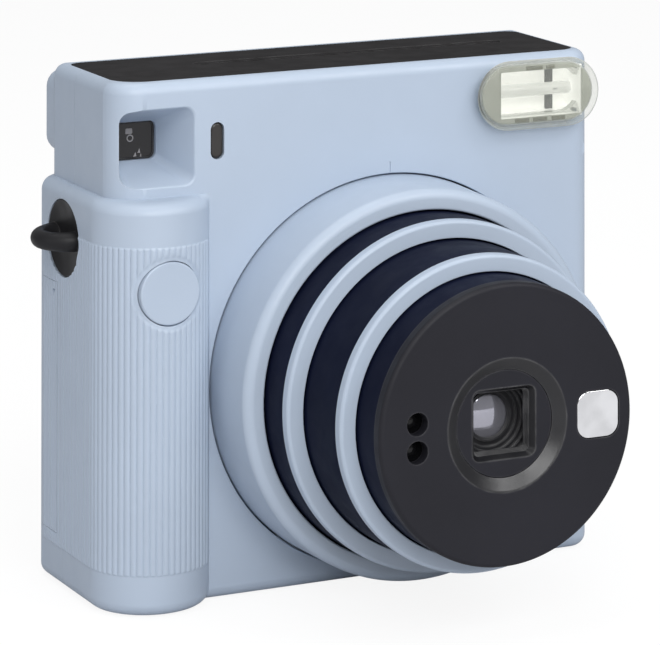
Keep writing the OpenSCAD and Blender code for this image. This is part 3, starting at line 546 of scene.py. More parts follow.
def finder_pocket(grow, flared):
    """The funnel in front of the finder window, narrowing towards it."""
    depth = 11.6
    mouth = rounded(18.2 + 2 * grow, 17.7 + 2 * grow, 2.4 + grow)
    back = rounded(10.6 + 2 * grow, 8.9 + 2 * grow, 1.6 + grow)
    stops = [(0.6, 0), (depth + 1.2, 0)]
    if flared:
        stops = [(-1, 0.5), (0, 0.3), (0.05, 0.2), (0.15, 0.09), (0.3, 0.02), (0.45, 0), (depth, 0)]
    rings = []
    for d, flare in stops:
        t = min(max(d / depth, 0), 1)
        cx, cz = POCKET[0] * (1 - t) + WINDOW.x * t, POCKET[1] * (1 - t) + WINDOW.z * t
        wide = 1 + 2 * flare / 17.5
        ring = []
        for a, b in zip(mouth, back):
            u, v = a[0] * (1 - t) + b[0] * t, a[1] * (1 - t) + b[1] * t
            ring.append((cx + u * wide, FRONT_Y + d, cz + v * wide))
        rings.append(ring)
    return loft("pocket", rings)


def flared_hole(name, r, y_out, y_in, centre, flare=0.3):
    """Cutter for a round hole whose outer edge at y_out is rounded."""
    lip = [(r + inset, y) for inset, y in rounding(flare, y_out, 1, 4)]
    profile = [(0, y_out - 1), (r + flare, y_out - 1)] + lip + [(r, y_in), (0, y_in)]
    return turned(name, profile, centre, segments=FINE if r > 20 else 96)


def panel_outline(grow):
    """The top panel seen from above, with a wide rounding at its front left corner."""
    corners = ((PANEL_LO.x, PANEL_LO.y, 6.7, 180), (PANEL_HI.x, PANEL_LO.y, 4, 270),
               (PANEL_HI.x, PANEL_HI.y, 3.2, 0), (PANEL_LO.x, PANEL_HI.y, 3.2, 90))

    def outline(inset):
        points = []
        for x, y, r, start in corners:
            cx = x + r if start in (90, 180) else x - r
            cy = y + r if start in (180, 270) else y - r
            points += arc(cx, cy, r + grow - inset, start, start + 90, 12)
        return points
    return outline


def panel_seats():
    seat = pillow("seat", panel_outline(0.12), HEIGHT - 1, HEIGHT + 2, axis="z")
    well = pillow("well", panel_outline(-1.38), HEIGHT - 6, HEIGHT, axis="z")
    return seat, well


def oval(obj):
    """Stretches a round piece of a strap lug's foot from front to back."""
    for vertex in obj.data.vertices:
        vertex.co.y = (FOOT_Y + (vertex.co.y / MM - FOOT_Y) * FOOT_STRETCH) * MM
    return obj


def lug_seats():
    return [oval(drum("lug_seat", 8.92, min(x0, x1), max(x0, x1), (FOOT_Y, LUG_Z), "x", 0, 96))
            for x0, x1 in ((-HALF_W - 2, -HALF_W + 5), (HALF_W - 5, HALF_W + 2))]


def screw_bosses(y0, y1):
    return [drum("boss", 3, y0, y1, p, "y", 0, 32) for p in SCREWS]


def build_front(shell, outer):
    front = cut(copy_of(shell, "front_shell"), block("behind", (-90, 90), (SEAM_Y - 0.06, 60), (-9, 140)))
    funnel = combine(finder_pocket(1.6, False), "INTERSECT", copy_of(outer, "outer_copy"))
    join(front, funnel)
    for boss in screw_bosses(FRONT_Y + 1, SEAM_Y - 0.06):
        join(front, boss)
    cut(front, flared_hole("bore", 45.5, FRONT_Y, -8, (LENS.x, LENS.z)))
    cut(front, flared_hole("button_hole", 7.36, GRIP_Y, GRIP_Y + 8, (BUTTON.x, BUTTON.z), 0.2))
    cut(front, finder_pocket(0, True))
    cut(front, pillow("window_hole", at_window(10.55, 8.85, 1.6),
                      FRONT_Y + 10, FRONT_Y + 16))
    cut(front, pillow("meter_hole", stadium_at(METER.x, METER.z, 3.4, 8.5), FRONT_Y - 3, FRONT_Y + 5))
    seat_w, seat_h = (side - 2 * FLASH_TAPER + 0.2 for side in FLASH_SIZE)
    cut(front, pillow("flash_seat", stadium_at(FLASH.x, FLASH.z, seat_w, seat_h), FRONT_Y - 3, FRONT_Y + 2.5))
    mark_z = LENS.z + 47
    cut(front, pillow("index_mark", stadium_at(LENS.x, mark_z, 0.5, 2.6), FRONT_Y - 1, FRONT_Y + 0.2))
    cut(front, *lug_seats(), *panel_seats())
    for p in SCREWS:
        cut(front, drum("pilot", 1, SEAM_Y - 13, SEAM_Y + 1, p, "y", 0, 24))
    return piece(front, "body", "shell", "front_cover")


DOOR_KNUCKLE_R = 1.7
DOOR_HINGE = (-34.4, BACK_Y - DOOR_KNUCKLE_R)
DOOR_KNUCKLES = ((6, 26), (44, 62), (80, 100))
COVER_KNUCKLES = ((26.3, 43.7), (62.3, 79.7))
BATTERY_KNUCKLE_R = 1.1
BATTERY_HINGE = (-50, BACK_Y - BATTERY_KNUCKLE_R)
BATTERY_KNUCKLES = ((13, 24), (36, 46), (58, 69))
BATTERY_COVER_KNUCKLES = ((24.3, 35.7), (46.3, 57.7))


def knuckles(hinge, r, spans):
    return [drum("knuckle", r - 0.005, z0, z1, hinge, "z", 0.15, 32) for z0, z1 in spans]


def clearances(hinge, r, spans, side):
    """Cutters that leave room for a leaf's knuckles in the cover, on the far side of the axis too."""
    cutters = []
    for z0, z1 in spans:
        cutters.append(drum("round", r + 0.25, z0 - 0.2, z1 + 0.2, hinge, "z", 0, 32))
        x = sorted((hinge[0], hinge[0] + side * (r + 0.25)))
        cutters.append(block("notch", x, (hinge[1], BACK_Y + 4), (z0 - 0.2, z1 + 0.2)))
    return cutters


def build_rear(shell):
    rear = join(copy_of(shell, "rear_shell"), finder_bump(0))
    cut(rear, finder_bump(WALL), block("before", (-90, 90), (-60, SEAM_Y + 0.06), (-9, 140)))
    for boss in screw_bosses(SEAM_Y + 0.06, BACK_Y - 1):
        join(rear, boss)
    cut(rear, block("door_hole", (DOOR_HINGE[0], DOOR_HI.x + 0.3), (BACK_Y - 6, BACK_Y + 6),
                    (DOOR_LO.z - 0.3, DOOR_HI.z + 0.3)))
    cut(rear, block("battery_hole", (-HALF_W - 3, BATTERY_HINGE[0]), (BATTERY_LO.y - 0.1, BACK_Y + 6),
                    (BATTERY_LO.z - 0.1, BATTERY_HI.z + 0.1)))
    cut(rear, *clearances(DOOR_HINGE, DOOR_KNUCKLE_R, DOOR_KNUCKLES, -1))
    cut(rear, *clearances(BATTERY_HINGE, BATTERY_KNUCKLE_R, BATTERY_KNUCKLES, 1))
    cut(rear, pillow("eye_seat", at_window(14, 12, 2), BACK_Y - 8, BACK_Y + 9))
    cut(rear, pillow("counter_hole", rounded_at(-46, 85.1, 9, 5, 1), BACK_Y - 4, BACK_Y + 2))
    cut(rear, *lug_seats(), *panel_seats())
    for p in SCREWS:
        cut(rear, drum("head", 2.2, BACK_Y - 6, BACK_Y + 1, p, "y", 0, 40))
        cut(rear, drum("shank", 1.15, SEAM_Y - 1, BACK_Y, p, "y", 0, 24))
    join(rear, *knuckles(DOOR_HINGE, DOOR_KNUCKLE_R, COVER_KNUCKLES))
    join(rear, *knuckles(BATTERY_HINGE, BATTERY_KNUCKLE_R, BATTERY_COVER_KNUCKLES))
    return piece(rear, "body", "shell", "rear_cover")


def build_battery_door(shell):
    x1 = BATTERY_HINGE[0] - 1.3
    reach = block("hatch", (-HALF_W - 3, x1), (BATTERY_LO.y, BACK_Y + 5), (BATTERY_LO.z, BATTERY_HI.z))
    door = combine(copy_of(shell, "battery_hatch"), "INTERSECT", reach)
    for z0, z1 in BATTERY_KNUCKLES:
        join(door, block("arm", (x1 - 0.5, BATTERY_HINGE[0]), (BATTERY_HINGE[1], BACK_Y - 0.01), (z0, z1)))
    join(door, *knuckles(BATTERY_HINGE, BATTERY_KNUCKLE_R, BATTERY_KNUCKLES))
    cut(door, drum("bore", 0.54, 5, 80, BATTERY_HINGE, "z", 0, 24))
    nick = pillow("nick", lambda g: [(9, 66.2), (9.6, 68), (8.4, 68)], -HALF_W - 1, -HALF_W + 0.35, axis="x")
    cut(door, nick)
    return piece(door, "battery_lid", "shell", "battery_door")


def build_film_door():
    x0 = DOOR_HINGE[0] + 2
    cx, cz = (x0 + DOOR_HI.x) / 2, (DOOR_LO.z + DOOR_HI.z) / 2
    leaf = pillow("film_hatch", rounded_at(cx, cz, DOOR_HI.x - x0, DOOR_HI.z - DOOR_LO.z, 0.8),
                  BACK_Y - WALL, BACK_Y, 0, 0.4)
    for z0, z1 in DOOR_KNUCKLES:
        join(leaf, block("arm", (DOOR_HINGE[0], x0 + 0.7), (BACK_Y - 1.6, BACK_Y - 0.01), (z0, z1)))
    join(leaf, *knuckles(DOOR_HINGE, DOOR_KNUCKLE_R, DOOR_KNUCKLES))
    cut(leaf, drum("bore", 0.79, 2, 104, DOOR_HINGE, "z", 0, 24))
    cut(leaf, pillow("check_hole", rounded_at(LENS.x, 65, 16, 10, 1.5), BACK_Y - 3, BACK_Y + 1))
    cut(leaf, block("latch_hole", (49.9, 52.9), (BACK_Y - 4, BACK_Y + 2), (44, 62)))
    # A fine groove round the check window
    rim = cut(pillow("rim", rounded_at(LENS.x, 65, 20, 14, 3), BACK_Y - 0.2, BACK_Y + 1),
              pillow("rim_inside", rounded_at(LENS.x, 65, 19.2, 13.2, 2.6), BACK_Y - 1, BACK_Y + 2))
    cut(leaf, rim)
    return piece(leaf, "film_door_leaf", "shell", "film_door")


# ---------- top panel, lens ring and barrel ----------

def build_top_panel():
    panel = pillow("top_cover_panel", panel_outline(0), HEIGHT - 1, HEIGHT, 0, 0.25, axis="z")
    slot_y = FRONT_Y + 22.05
    groove = stadium_at(LENS.x, slot_y, 80.4, 4.4)
    cut(panel, pillow("groove", groove, HEIGHT - 0.35, HEIGHT + 1, 0.3, axis="z"))
    cut(panel, pillow("slot", stadium_at(LENS.x, slot_y, 77.4, 2.4), HEIGHT - 4, HEIGHT + 2, axis="z"))
    return piece(panel, "body", "panel", "top_panel", slot="black")


def build_lens_ring():
    front, r, lip = node_box("lens_ring")[0].y, 45.2, 2.4
    outer = arc(r - 0.5 - lip, front + lip, lip, -4, -88, 12)
    inner = arc(40.5, front + 0.5, 0.5, -90, -180, 4)
    profile = [(r - 2, FRONT_Y + 3.2), (r, FRONT_Y + 3.2)] + outer + inner
    ring = turned("turning_ring", profile + [(40, front + 2), (r - 2, front + 2)])
    for angle in (100, 350, 240):
        a = math.radians(angle)
        cx, cz = LENS.x + 44.9 * math.cos(a), LENS.z + 44.9 * math.sin(a)
        tab = [(cx + u * math.cos(a) - v * math.sin(a), cz + u * math.sin(a) + v * math.cos(a))
               for u, v in ((-0.9, -6), (1.4, -6), (1.4, 6), (-0.9, 6))]
        join(ring, pillow("tab", lambda g: tab, FRONT_Y + 2.2, FRONT_Y + 3.1))
    return piece(ring, "ring", "shell", "lens_ring")


STAGES = (("outer", 39.6, "stage_outer", 35.55, 39.6), ("middle", 35.2, "stage_middle", 31.4, 37.85),
          ("inner", 31.1, "stage_inner", 0, 33.45))
STAGE_WALL = 1.5


def build_stages():
    """The three sliding tubes, and the coloured ring on the front of the first two."""
    for name, r, body, bore, flange in STAGES:
        node = "barrel_tube_" + name
        front, back = node_box(node)[0].y, node_box(node)[1].y
        profile = [(r - STAGE_WALL, back), (flange, back), (flange, back - 1.5), (r, back - 1.5),
                   (r, front), (r - STAGE_WALL, front)]
        piece(turned("barrel_sleeve_" + name, profile), body, "navy", node)
        if not bore:
            continue
        ring_front = node_box("barrel_ring_" + name)[0].y
        profile = [(r, front - 0.02)] + arc(r - 0.9, ring_front + 0.9, 0.9, 0, -90, 7)
        profile += [(bore + 0.35, ring_front), (bore + 0.1, ring_front + 0.1), (bore, ring_front + 0.35),
                    (bore, front - 0.02)]
        piece(turned("barrel_trim_" + name, profile), body, "shell", "barrel_ring_" + name)


PLATE_FRONT = node_box("lens_front_plate")[0].y
MIRROR = node_centre("selfie_mirror")
HOOD_R = 11.85
SENSOR_X = LENS.x - 22
SENSOR_RISE = (2.55, -3.6)                      # heights of the two sensors from the lens axis
RECESS = PLATE_FRONT + 1.7


def build_front_plate():
    r, rim, lip = 31.1, 1.1, 14.75
    profile = [(lip, PLATE_FRONT + 3), (r, PLATE_FRONT + 3)]
    profile += arc(r - rim, PLATE_FRONT + rim, rim, 0, -90, 8)
    plate = turned("barrel_face", profile + [(lip, PLATE_FRONT)])
    cut(plate, pillow("mirror_seat", rounded_at(MIRROR.x, MIRROR.z, 10.6, 10.6, 3.1, 10),
                      PLATE_FRONT - 1, PLATE_FRONT + 1))
    for dz in SENSOR_RISE:
        centre = (SENSOR_X, LENS.z + dz)
        cut(plate, flared_hole("sensor_hole", 2.5, PLATE_FRONT, PLATE_FRONT + 5, centre, 0.15))
    piece(plate, "stage_inner", "plate", "lens_front_plate")
    cone = [(HOOD_R + 0.05, PLATE_FRONT + 3), (lip - 0.01, PLATE_FRONT + 3), (lip - 0.01, PLATE_FRONT),
            (14.45, PLATE_FRONT + 0.06), (14.2, PLATE_FRONT + 0.22), (HOOD_R + 0.05, RECESS)]
    piece(turned("face_cone", cone), "stage_inner", "sheen", slot="plate")
    mirror = pillow("front_mirror", rounded_at(MIRROR.x, MIRROR.z, 10.4, 10.4, 3, 10), PLATE_FRONT + 0.1,
                    PLATE_FRONT + 1, 0.25, 0)
    piece(mirror, "stage_inner", "mirror", "selfie_mirror")


def build_sensors():
    """A domed lens at the bottom of each of the two round holes."""
    deep = node_box("sensor_lenses")[0].y
    for name, dz in zip(("upper", "lower"), SENSOR_RISE):
        dome = arc(0, deep + 3.2, 3.2, -90, -55, 6)
        eye = turned("sensor_eye_" + name, dome + [(3.1, deep + 0.62), (3.1, deep + 1.1), (0, deep + 1.1)],
                     (SENSOR_X, LENS.z + dz), segments=48)
        piece(eye, "stage_inner", "lens_black", *(["sensor_lenses"] if dz > 0 else []), slot="smoked")


def build_hood():
    """Round black insert whose square opening has a sloping edge and a ribbed throat."""
    back = RECESS + 3.6
    profile = [(0, RECESS), (HOOD_R - 0.15, RECESS), (HOOD_R, RECESS + 0.15), (HOOD_R, RECESS + 1.4),
               (HOOD_R + 1.5, RECESS + 1.4), (HOOD_R + 1.5, back), (0, back)]
    hood = turned("lens_surround", profile, segments=128)
    opening = rounded_at(LENS.x, LENS.z, 15.8, 15.8, 1.9)
    cut(hood, pillow("opening", opening, RECESS - 1, back + 1))
    piece(hood, "stage_inner", "plate", "lens_hood", slot="black")
    half = 6.95
    stops = [(RECESS - 0.5, 8.0), (RECESS, 7.8), (RECESS + 0.12, 7.7), (RECESS + 1.3, half)]
    for k in range(5):
        y = RECESS + 1.32 + 0.42 * k
        stops += [(y, half - 0.02), (y + 0.2, half - 0.04), (y + 0.24, half - 0.16), (y + 0.4, half - 0.14)]
        half -= 0.1
    stops.append((back + 1, half - 0.1))
    throat = [[(LENS.x + u, y, LENS.z + v) for u, v in rounded(2 * h, 2 * h, 1.9 - (8 - h) * 0.6, 5)]
              for y, h in stops]
    lip = pillow("hood_throat", rounded_at(LENS.x, LENS.z, 15.78, 15.78, 1.89), RECESS + 0.02, back)
    piece(cut(lip, loft("throat", throat)), "stage_inner", "sheen", slot="black")


def build_holder():
    """Stepped tube behind the square opening, with a fine rounded thread on each step."""
    lo, hi = node_box("lens_holder")
    front, back = lo.y, hi.y
    outline = [(4.2, back), (29.5, back), (29.5, back - 1.2), (10.4, back - 1.2), (10.4, front)]
    y = front
    for r, depth in ((9, 1.2), (8.2, 1.1), (7.4, 1.1), (6.6, 1.0)):
        outline += [(r + 0.18, y), (r + 0.05, y + 0.05), (r, y + 0.18)]
        turns = 2
        for k in range(turns):
            start = y + 0.2 + (depth - 0.25) * k / turns
            outline += [(r + 0.12, start + 0.06), (r, start + 0.14)]
        y += depth
        outline.append((r, y))
    outline += [(5.6, y), (5.6, y + 3.3), (4.2, y + 3.3)]
    piece(turned("lens_cell", outline, segments=128), "stage_inner", "black", "lens_holder", angle=50)


def lens_profile(r, front, bulge, edge):
    """Outline of a lens, curved equally on both faces."""
    big = (r * r + bulge * bulge) / (2 * bulge)
    half = math.degrees(math.asin(r / big))
    face = arc(0, front + big, big, -90, -90 + half, 12)
    rear = arc(0, front + 2 * bulge + edge - big, big, 90 - half, 90, 12)
    face[0], rear[-1] = (0, face[0][1]), (0, rear[-1][1])
    return face + rear


def build_lenses():
    front = node_box("front_lens")[0].y
    glass = turned("objective_glass", lens_profile(5.4, front, 1.1, 1), segments=96)
    piece(glass, "stage_inner", "glass", "front_lens")
    section = [(4.7, front + 0.25), (5.2, front - 0.1), (5.58, front - 0.1), (5.58, front + 0.9),
               (5.42, front + 0.9)]
    piece(turned("glass_retainer", section, segments=96), "stage_inner", "black")
    deep = node_box("rear_lens")[0].y
    glass = turned("second_glass", lens_profile(6.4, deep, 0.8, 1), segments=96)
    piece(glass, "stage_inner", "glass", "rear_lens")


# ---------- small parts of the front ----------

def build_button():
    front = node_box("shutter_button")[0].y
    dish = [(0, front + 0.16), (4.2, front + 0.1), (6, front + 0.03), (6.55, front)]
    rim = arc(6.75, front + 0.45, 0.45, -90, 0, 5)
    back = FRONT_Y + 5
    flange = [(7.2, FRONT_Y + 2.2), (8.3, FRONT_Y + 2.2), (8.3, FRONT_Y + 3.2), (2, FRONT_Y + 3.2)]
    profile = dish + rim + flange + [(2, back), (0, back)]
    button = turned("release_button", profile, (BUTTON.x, BUTTON.z), segments=96)
    piece(button, "button", "shell", "shutter_button")


def build_button_spring():
    """Two bent leaves behind the button; in the camera they give way as it goes in."""
    lo, hi = node_box("button_spring")
    bend = ((4.4, 0), (6.6, 0), (6.6, -0.3), (5, -0.3), (3.5, -4), (2.6, -4.25), (3.2, -3.8))
    leaves = None
    for side in (-1, 1):
        outline = [(BUTTON.x + side * x, hi.y + y) for x, y in bend[::-side]]
        leaf = pillow("button_leaves", lambda g, flat=outline: flat, lo.z, hi.z, axis="z")
        leaves = join(leaves, leaf) if leaves else leaf
    piece(leaves, "body", "steel", "button_spring")
    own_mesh(leaves)


def build_lug(side, node):
    """A dished oval foot, level with the shell, with a stout half ring for the strap."""
    face = side * (HALF_W - 0.1)
    profile = [(r, face - side * depth) for r, depth in (
        (0, 1.1), (4.5, 1), (7.2, 0.55), (8.3, 0.05), (8.65, 0.02), (8.85, 0.2),
        (8.85, WALL), (9.3, WALL), (9.3, WALL + 1), (0, WALL + 1))]
    lug = oval(turned("strap_loop_" + node[-5:].strip("_"), profile, (FOOT_Y, LUG_Z), "x", 96))
    bend, wire, root, turns, around = 6.2, 2.1, 1.2, 40, 24
    middle = side * (HALF_W - root)
    rings = []
    for k in range(turns + 1):
        a = math.pi * (k / turns - 0.5)
        # The wire swells towards its two roots
        thick = wire * (1 + 0.12 * abs(math.sin(a)) ** 6)
        ring = []
        for j in range(around):
            b = math.tau * j / around
            reach = bend + thick * math.cos(b)
            out = side * max(reach * math.cos(a), 0)
            ring.append((middle + out, SEAM_Y + reach * math.sin(a), LUG_Z + thick * math.sin(b)))
        rings.append(ring)
    rings.insert(0, [(x - side * root, y, z) for x, y, z in rings[0]])
    rings.append([(x - side * root, y, z) for x, y, z in rings[-1]])
    join(lug, loft("loop", rings))
    piece(lug, "body", "black", node)


def build_windows():
    """Finder pane, light meter pane, counter pane, film check pane and the finder's rear glass."""
    lo, hi = node_box("viewfinder_window")
    front = lo.y
    pane = pillow("finder_pane", at_window(11.8, 11.8, 1.5), front, hi.y, 0.2)
    piece(pane, "body", "smoked", "viewfinder_window")
    rim = pillow("finder_rim", at_window(10.5, 8.8, 1.58), front - 0.25, front + 0.02, 0.1)
    cut(rim, pillow("inside", at_window(9.5, 7.8, 1.1), front - 1, front + 1))
    piece(rim, "body", "black")
    near, far = front - 0.02, front + 0.05
    # A target ring on the pane, with a painted bright patch above it and painted glints below it, all in one
    # grey
    target = turned("finder_target_and_painted_glints", [(0.55, near), (0.85, near), (0.85, far), (0.55, far)],
                    (WINDOW.x - 0.6, WINDOW.z + 0.5), segments=40)
    # Painted bright patch above the ring
    join(target, pillow("bar", rounded_at(WINDOW.x - 0.9, WINDOW.z + 2.1, 1.7, 1.3, 0.3), near, far))
    # Painted glints: small grey triangles below the ring
    for x, z, w in ((1.6, -2.5, 0.7), (0.6, -3.3, 0.8), (2.0, -3.6, 0.5)):
        painted_glint = moved([(x - w / 2, z - 0.5), (x + w / 2, z - 0.5), (x + w / 5, z + 0.55)], WINDOW.x, WINDOW.z)
        join(target, pillow("painted_glint", lambda g, f=painted_glint: f, near, far))
    piece(target, "body", "mark", slot="white")
    meter = pillow("meter_pane", stadium_at(METER.x, METER.z, 3.2, 8.3), FRONT_Y + 0.25, FRONT_Y + 2.1, 0.8)
    join(meter, pillow("meter_flange", stadium_at(METER.x, METER.z, 6, 11), FRONT_Y + 2.05, FRONT_Y + 3.4))
    piece(meter, "body", "meter", "light_meter_window", slot="smoked")
    for node, name, body, finish, slot, r, edge in (
            ("counter_window", "counter_pane", "body", "pane", "glass", 0.9, 0.15),
            ("pack_window", "check_pane", "film_door_leaf", "amber", "amber", 1.4, 0.2),
            ("viewfinder_eyepiece", "finder_eye_glass", "body", "smoked", "glass", 0.9, 0.5)):
        lo, hi = node_box(node)
        c = (lo + hi) / 2
        outline = rounded_at(c.x, c.z, hi.x - lo.x, hi.z - lo.z, r)
        piece(pillow(name, outline, lo.y, hi.y, 0, edge), body, finish, node, slot=slot)


def build_eyepiece():
    lo, hi = node_box("eyepiece_frame")
    frame_back = hi.y
    rim = pillow("eyecup", at_window(13.8, 11.8, 1.9), lo.y, frame_back - 0.2)
    collar = at_window(14.7, 13.1, 2.4, 8)
    join(rim, pillow("collar", collar, frame_back - 0.43, frame_back, 0, 0.3))
    cut(rim, pillow("sight", at_window(9.2, 7.2, 1), lo.y - 2, frame_back + 2))
    mouth = [[(WINDOW.x + u, t, WINDOW.z + v) for u, v in rounded(9.2 + 2 * g, 7.2 + 2 * g, 1 + g)]
             for t, g in ((frame_back - 1.2, -0.05), (frame_back - 0.9, 0.1), (frame_back + 0.3, 1.2))]
    cut(rim, loft("mouth", mouth))
    piece(rim, "body", "rubber", "eyepiece_frame")


def build_latch():
    lo, hi = node_box("door_latch")
    cx, cz = (lo.x + hi.x) / 2, 55.5
    latch = pillow("hatch_latch", rounded_at(cx, cz, 5.4, 11, 0.8), BACK_Y + 0.1, BACK_Y + 1.4, 0, 0.35)
    stem = block("stem", (cx - 1.3, cx + 1.3), (lo.y + 0.3, BACK_Y + 0.6), (49, 61.8))
    tail = block("tail", (cx - 2.7, cx + 2.7), (lo.y, lo.y + 1.1), (50, 61))
    join(latch, stem, tail)
    for k in range(-3, 4):
        z = cz + 1.2 * k
        cut(latch, block("groove", (cx - 4, cx + 4), (BACK_Y + 1.1, BACK_Y + 3), (z - 0.25, z + 0.25)))
    piece(latch, "latch", "black", "door_latch")


# ---------- flash ----------

def build_flash():
    front = node_box("flash_cover")[0].y
    back = node_box("flash_cover")[1].y
    cover = loft("flash_lens", flash_rings(front, back, 0))
    cut(cover, loft("hollow", flash_rings(front + 1.1, back + 2, 1.1)))
    piece(cover, "body", "diffuser", "flash_cover")
    # Trough made bright by a painted glow, open to the front, behind a frame with small holding tabs above
    # and below
    lo, hi = node_box("flash_reflector")
    half, thick = 5.4, 0.35
    mouth = FRONT_Y - 1.9
    mid_y = FRONT_Y + 2.4
    inside = [(mouth, half + 0.3)] + arc(mid_y, 0, half - 0.2, 90, -90, 16) + [(mouth, -half - 0.3)]
    lip = half + 0.3 + thick
    outside = [(mouth, -lip)] + arc(mid_y, 0, half + thick, -90, 90, 16) + [(mouth, lip)]
    outline = [(y, FLASH.z + z) for y, z in inside + outside]
    trough = pillow("flash_mirror", lambda g: outline, lo.x, hi.x, axis="x")
    cheek = [(y, FLASH.z + z) for y, z in outside]
    for x in (lo.x, hi.x - 0.4):
        join(trough, pillow("cheek", lambda g: cheek, x, x + 0.4, axis="x"))
    # The trough's brightness is partly a painted glow
    piece(trough, "body", "satin_painted_glow", "flash_reflector", slot="chrome")
    bezel = pillow("flash_bezel", stadium_at(FLASH.x, FLASH.z, 29.2, 13.5), mouth - 0.9, mouth - 0.3, 0.2, 0)
    opening = rounded_at((lo.x + hi.x) / 2, FLASH.z, hi.x - lo.x - 0.6, 2 * half + 0.2, 0.4)
    cut(bezel, pillow("inside", opening, mouth - 2, mouth + 2))
    piece(bezel, "body", "bezel", slot="white")
    tabs = None
    for x0, x1, z in ((-6, -2.2, -1), (-1.2, 2.6, -1), (3.8, 7.4, -1), (-3, 1.4, 1), (2.4, 4.6, 1)):
        edge = FLASH.z + z * (half + 0.7)
        outline = rounded_at(FLASH.x + (x0 + x1) / 2, edge, x1 - x0, 1.0, 0.15)
        tab = pillow("flash_tabs", outline, mouth - 1.1, mouth - 0.7, 0.15)
        tabs = join(tabs, tab) if tabs else tab
    piece(tabs, "body", "olive", slot="black")
    lo, hi = node_box("flash_tube")
    cy, cz = (lo.y + hi.y) / 2, (lo.z + hi.z) / 2
    # The tube is not firing; its faint glow is painted light
    lamp = drum("flash_lamp", 1.5, lo.x, hi.x, (cy, cz), "x", 0.6, 40)
    piece(lamp, "body", "lamp", "flash_tube", slot="glass")
    # Fine upright prisms moulded behind the cover
    span = (node_box("flash_reflector")[0].x, node_box("flash_reflector")[1].x)
    pitch, deep, sheet_y = 0.7, 0.1, front + 1.55
    line = [(span[0], sheet_y)]
    for k in range(int((span[1] - span[0]) / pitch)):
        line += [(span[0] + pitch * (k + 0.5), sheet_y - deep), (span[0] + pitch * (k + 1), sheet_y)]
    prisms = line + [(line[-1][0], sheet_y + 0.3), (span[0], sheet_y + 0.3)]
    sheet = pillow("flash_prism_sheet", lambda g: prisms, FLASH.z - 5.6, FLASH.z + 5.6, axis="z")
    piece(sheet, "body", "prisms", slot="diffuser")
    # The lamp's end sleeve, its upright terminal and the trigger wire
    sleeve = hi.x - 4.2
    post = drum("flash_lamp_cap", 1.3, sleeve - 1.2, sleeve + 0.5, (cy - 0.2, cz), "x", 0.3, 40)
    join(post, drum("boss", 0.95, sleeve + 0.3, sleeve + 1.6, (cy - 0.4, cz), "x", 0.3, 32))
    piece(post, "body", "steel")
    flat = rounded_at(sleeve - 1.1, FLASH.z, 1.7, 2 * half - 0.7, 0.3)
    strip = pillow("flash_terminal", flat, cy + 0.7, cy + 1.1, 0.12)
    rib = rounded_at(sleeve - 0.3, FLASH.z, 0.5, 2 * half - 0.9, 0.1)
    join(strip, pillow("stiffener", rib, cy + 0.4, cy + 0.9, 0.08))
    piece(strip, "body", "black")
    curve = bpy.data.curves.new("flash_wire", "CURVE")
    curve.dimensions, curve.bevel_depth, curve.bevel_resolution = "3D", 0.15 * MM, 3
    path = curve.splines.new("BEZIER")
    stops = ((sleeve + 1.4, cy - 0.4, cz), (sleeve + 2.8, cy - 0.9, cz - 0.25),
             (hi.x - 0.1, cy - 1.2, cz - 0.5))
    path.bezier_points.add(len(stops) - 1)
    for knot, stop in zip(path.bezier_points, stops):
        knot.co = Vector(stop) * MM
        knot.handle_left_type = knot.handle_right_type = "AUTO"
    wire = shown(bpy.data.objects.new("flash_trigger_wire", curve))
    curve.materials.append(FINISH["steel"])
    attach(wire, "body")


def flash_rings(front, back, inset):
    """The cover's outline from its rounded front to its foot, which is smaller."""
    edge = 1.3
    stops = rounding(edge, front, 1, 7) + [(FLASH_TAPER, FRONT_Y), (FLASH_TAPER, back)]
    return [[(u, t, v) for u, v in stadium_at(FLASH.x, FLASH.z, *FLASH_SIZE)(g + inset)] for g, t in stops]


# ---------- batteries, screws and counter ----------

def build_batteries():
    for node in ("battery_upper", "battery_lower"):
        lo, hi = node_box(node)
        c, r = ((lo.x + hi.x) / 2, (lo.y + hi.y) / 2), (hi.x - lo.x) / 2
        foot = arc(r - 0.5, lo.z + 0.5, 0.5, -90, 0, 4)
        shoulder = arc(r - 1.2, hi.z - 2, 1.2, 0, 90, 5)
        nub = arc(2.6, hi.z - 0.4, 0.4, 0, 90, 4)
        profile = [(0, lo.z + 0.3), (r - 1.4, lo.z + 0.3), (r - 1.2, lo.z)] + foot + shoulder
        profile += [(3, hi.z - 0.8)] + nub + [(0, hi.z)]
        cell = turned(node.replace("battery", "cell"), profile, c, "z", 96)
        piece(cell, "body", "cap", node, slot="battery")


shell_outer = skin("outer", 0, True)
shell = cut(copy_of(shell_outer, "shell"), skin("inner", WALL))
build_front(shell, shell_outer)
build_rear(shell)
build_battery_door(shell)
bpy.data.objects.remove(shell)
bpy.data.objects.remove(shell_outer)
build_film_door()
build_top_panel()
build_lens_ring()
build_stages()
build_front_plate()
build_sensors()
build_hood()
build_holder()
build_lenses()
build_button()
build_button_spring()
build_lug(-1, "strap_lug_left")
build_lug(1, "strap_lug_right")
build_windows()
build_eyepiece()
build_latch()
build_flash()
build_batteries()
keep("black", "barrel_base", "chassis", "film_pack", "battery_box", "viewfinder_tunnel", "slot_flap",
     "roller_bearings", "shutter_plate")
keep("black", "shutter_blade_left", "shutter_blade_right", bevel=0)
keep("steel", "cover_screws", "door_hinge_pin", "battery_hinge_pin", "door_pressure_spring",
     "film_claw", "drive_roller", "pinch_roller", "drive_motor", bevel=0)
keep("brass", "battery_contacts", "motor_pinion", bevel=0)
keep("white", "counter_dial", "film_sheets")
keep("board", "circuit_board", "shutter_switch")
keep("cap", "flash_capacitor")


# ---------- studio ----------

AMBIENT = 0.29


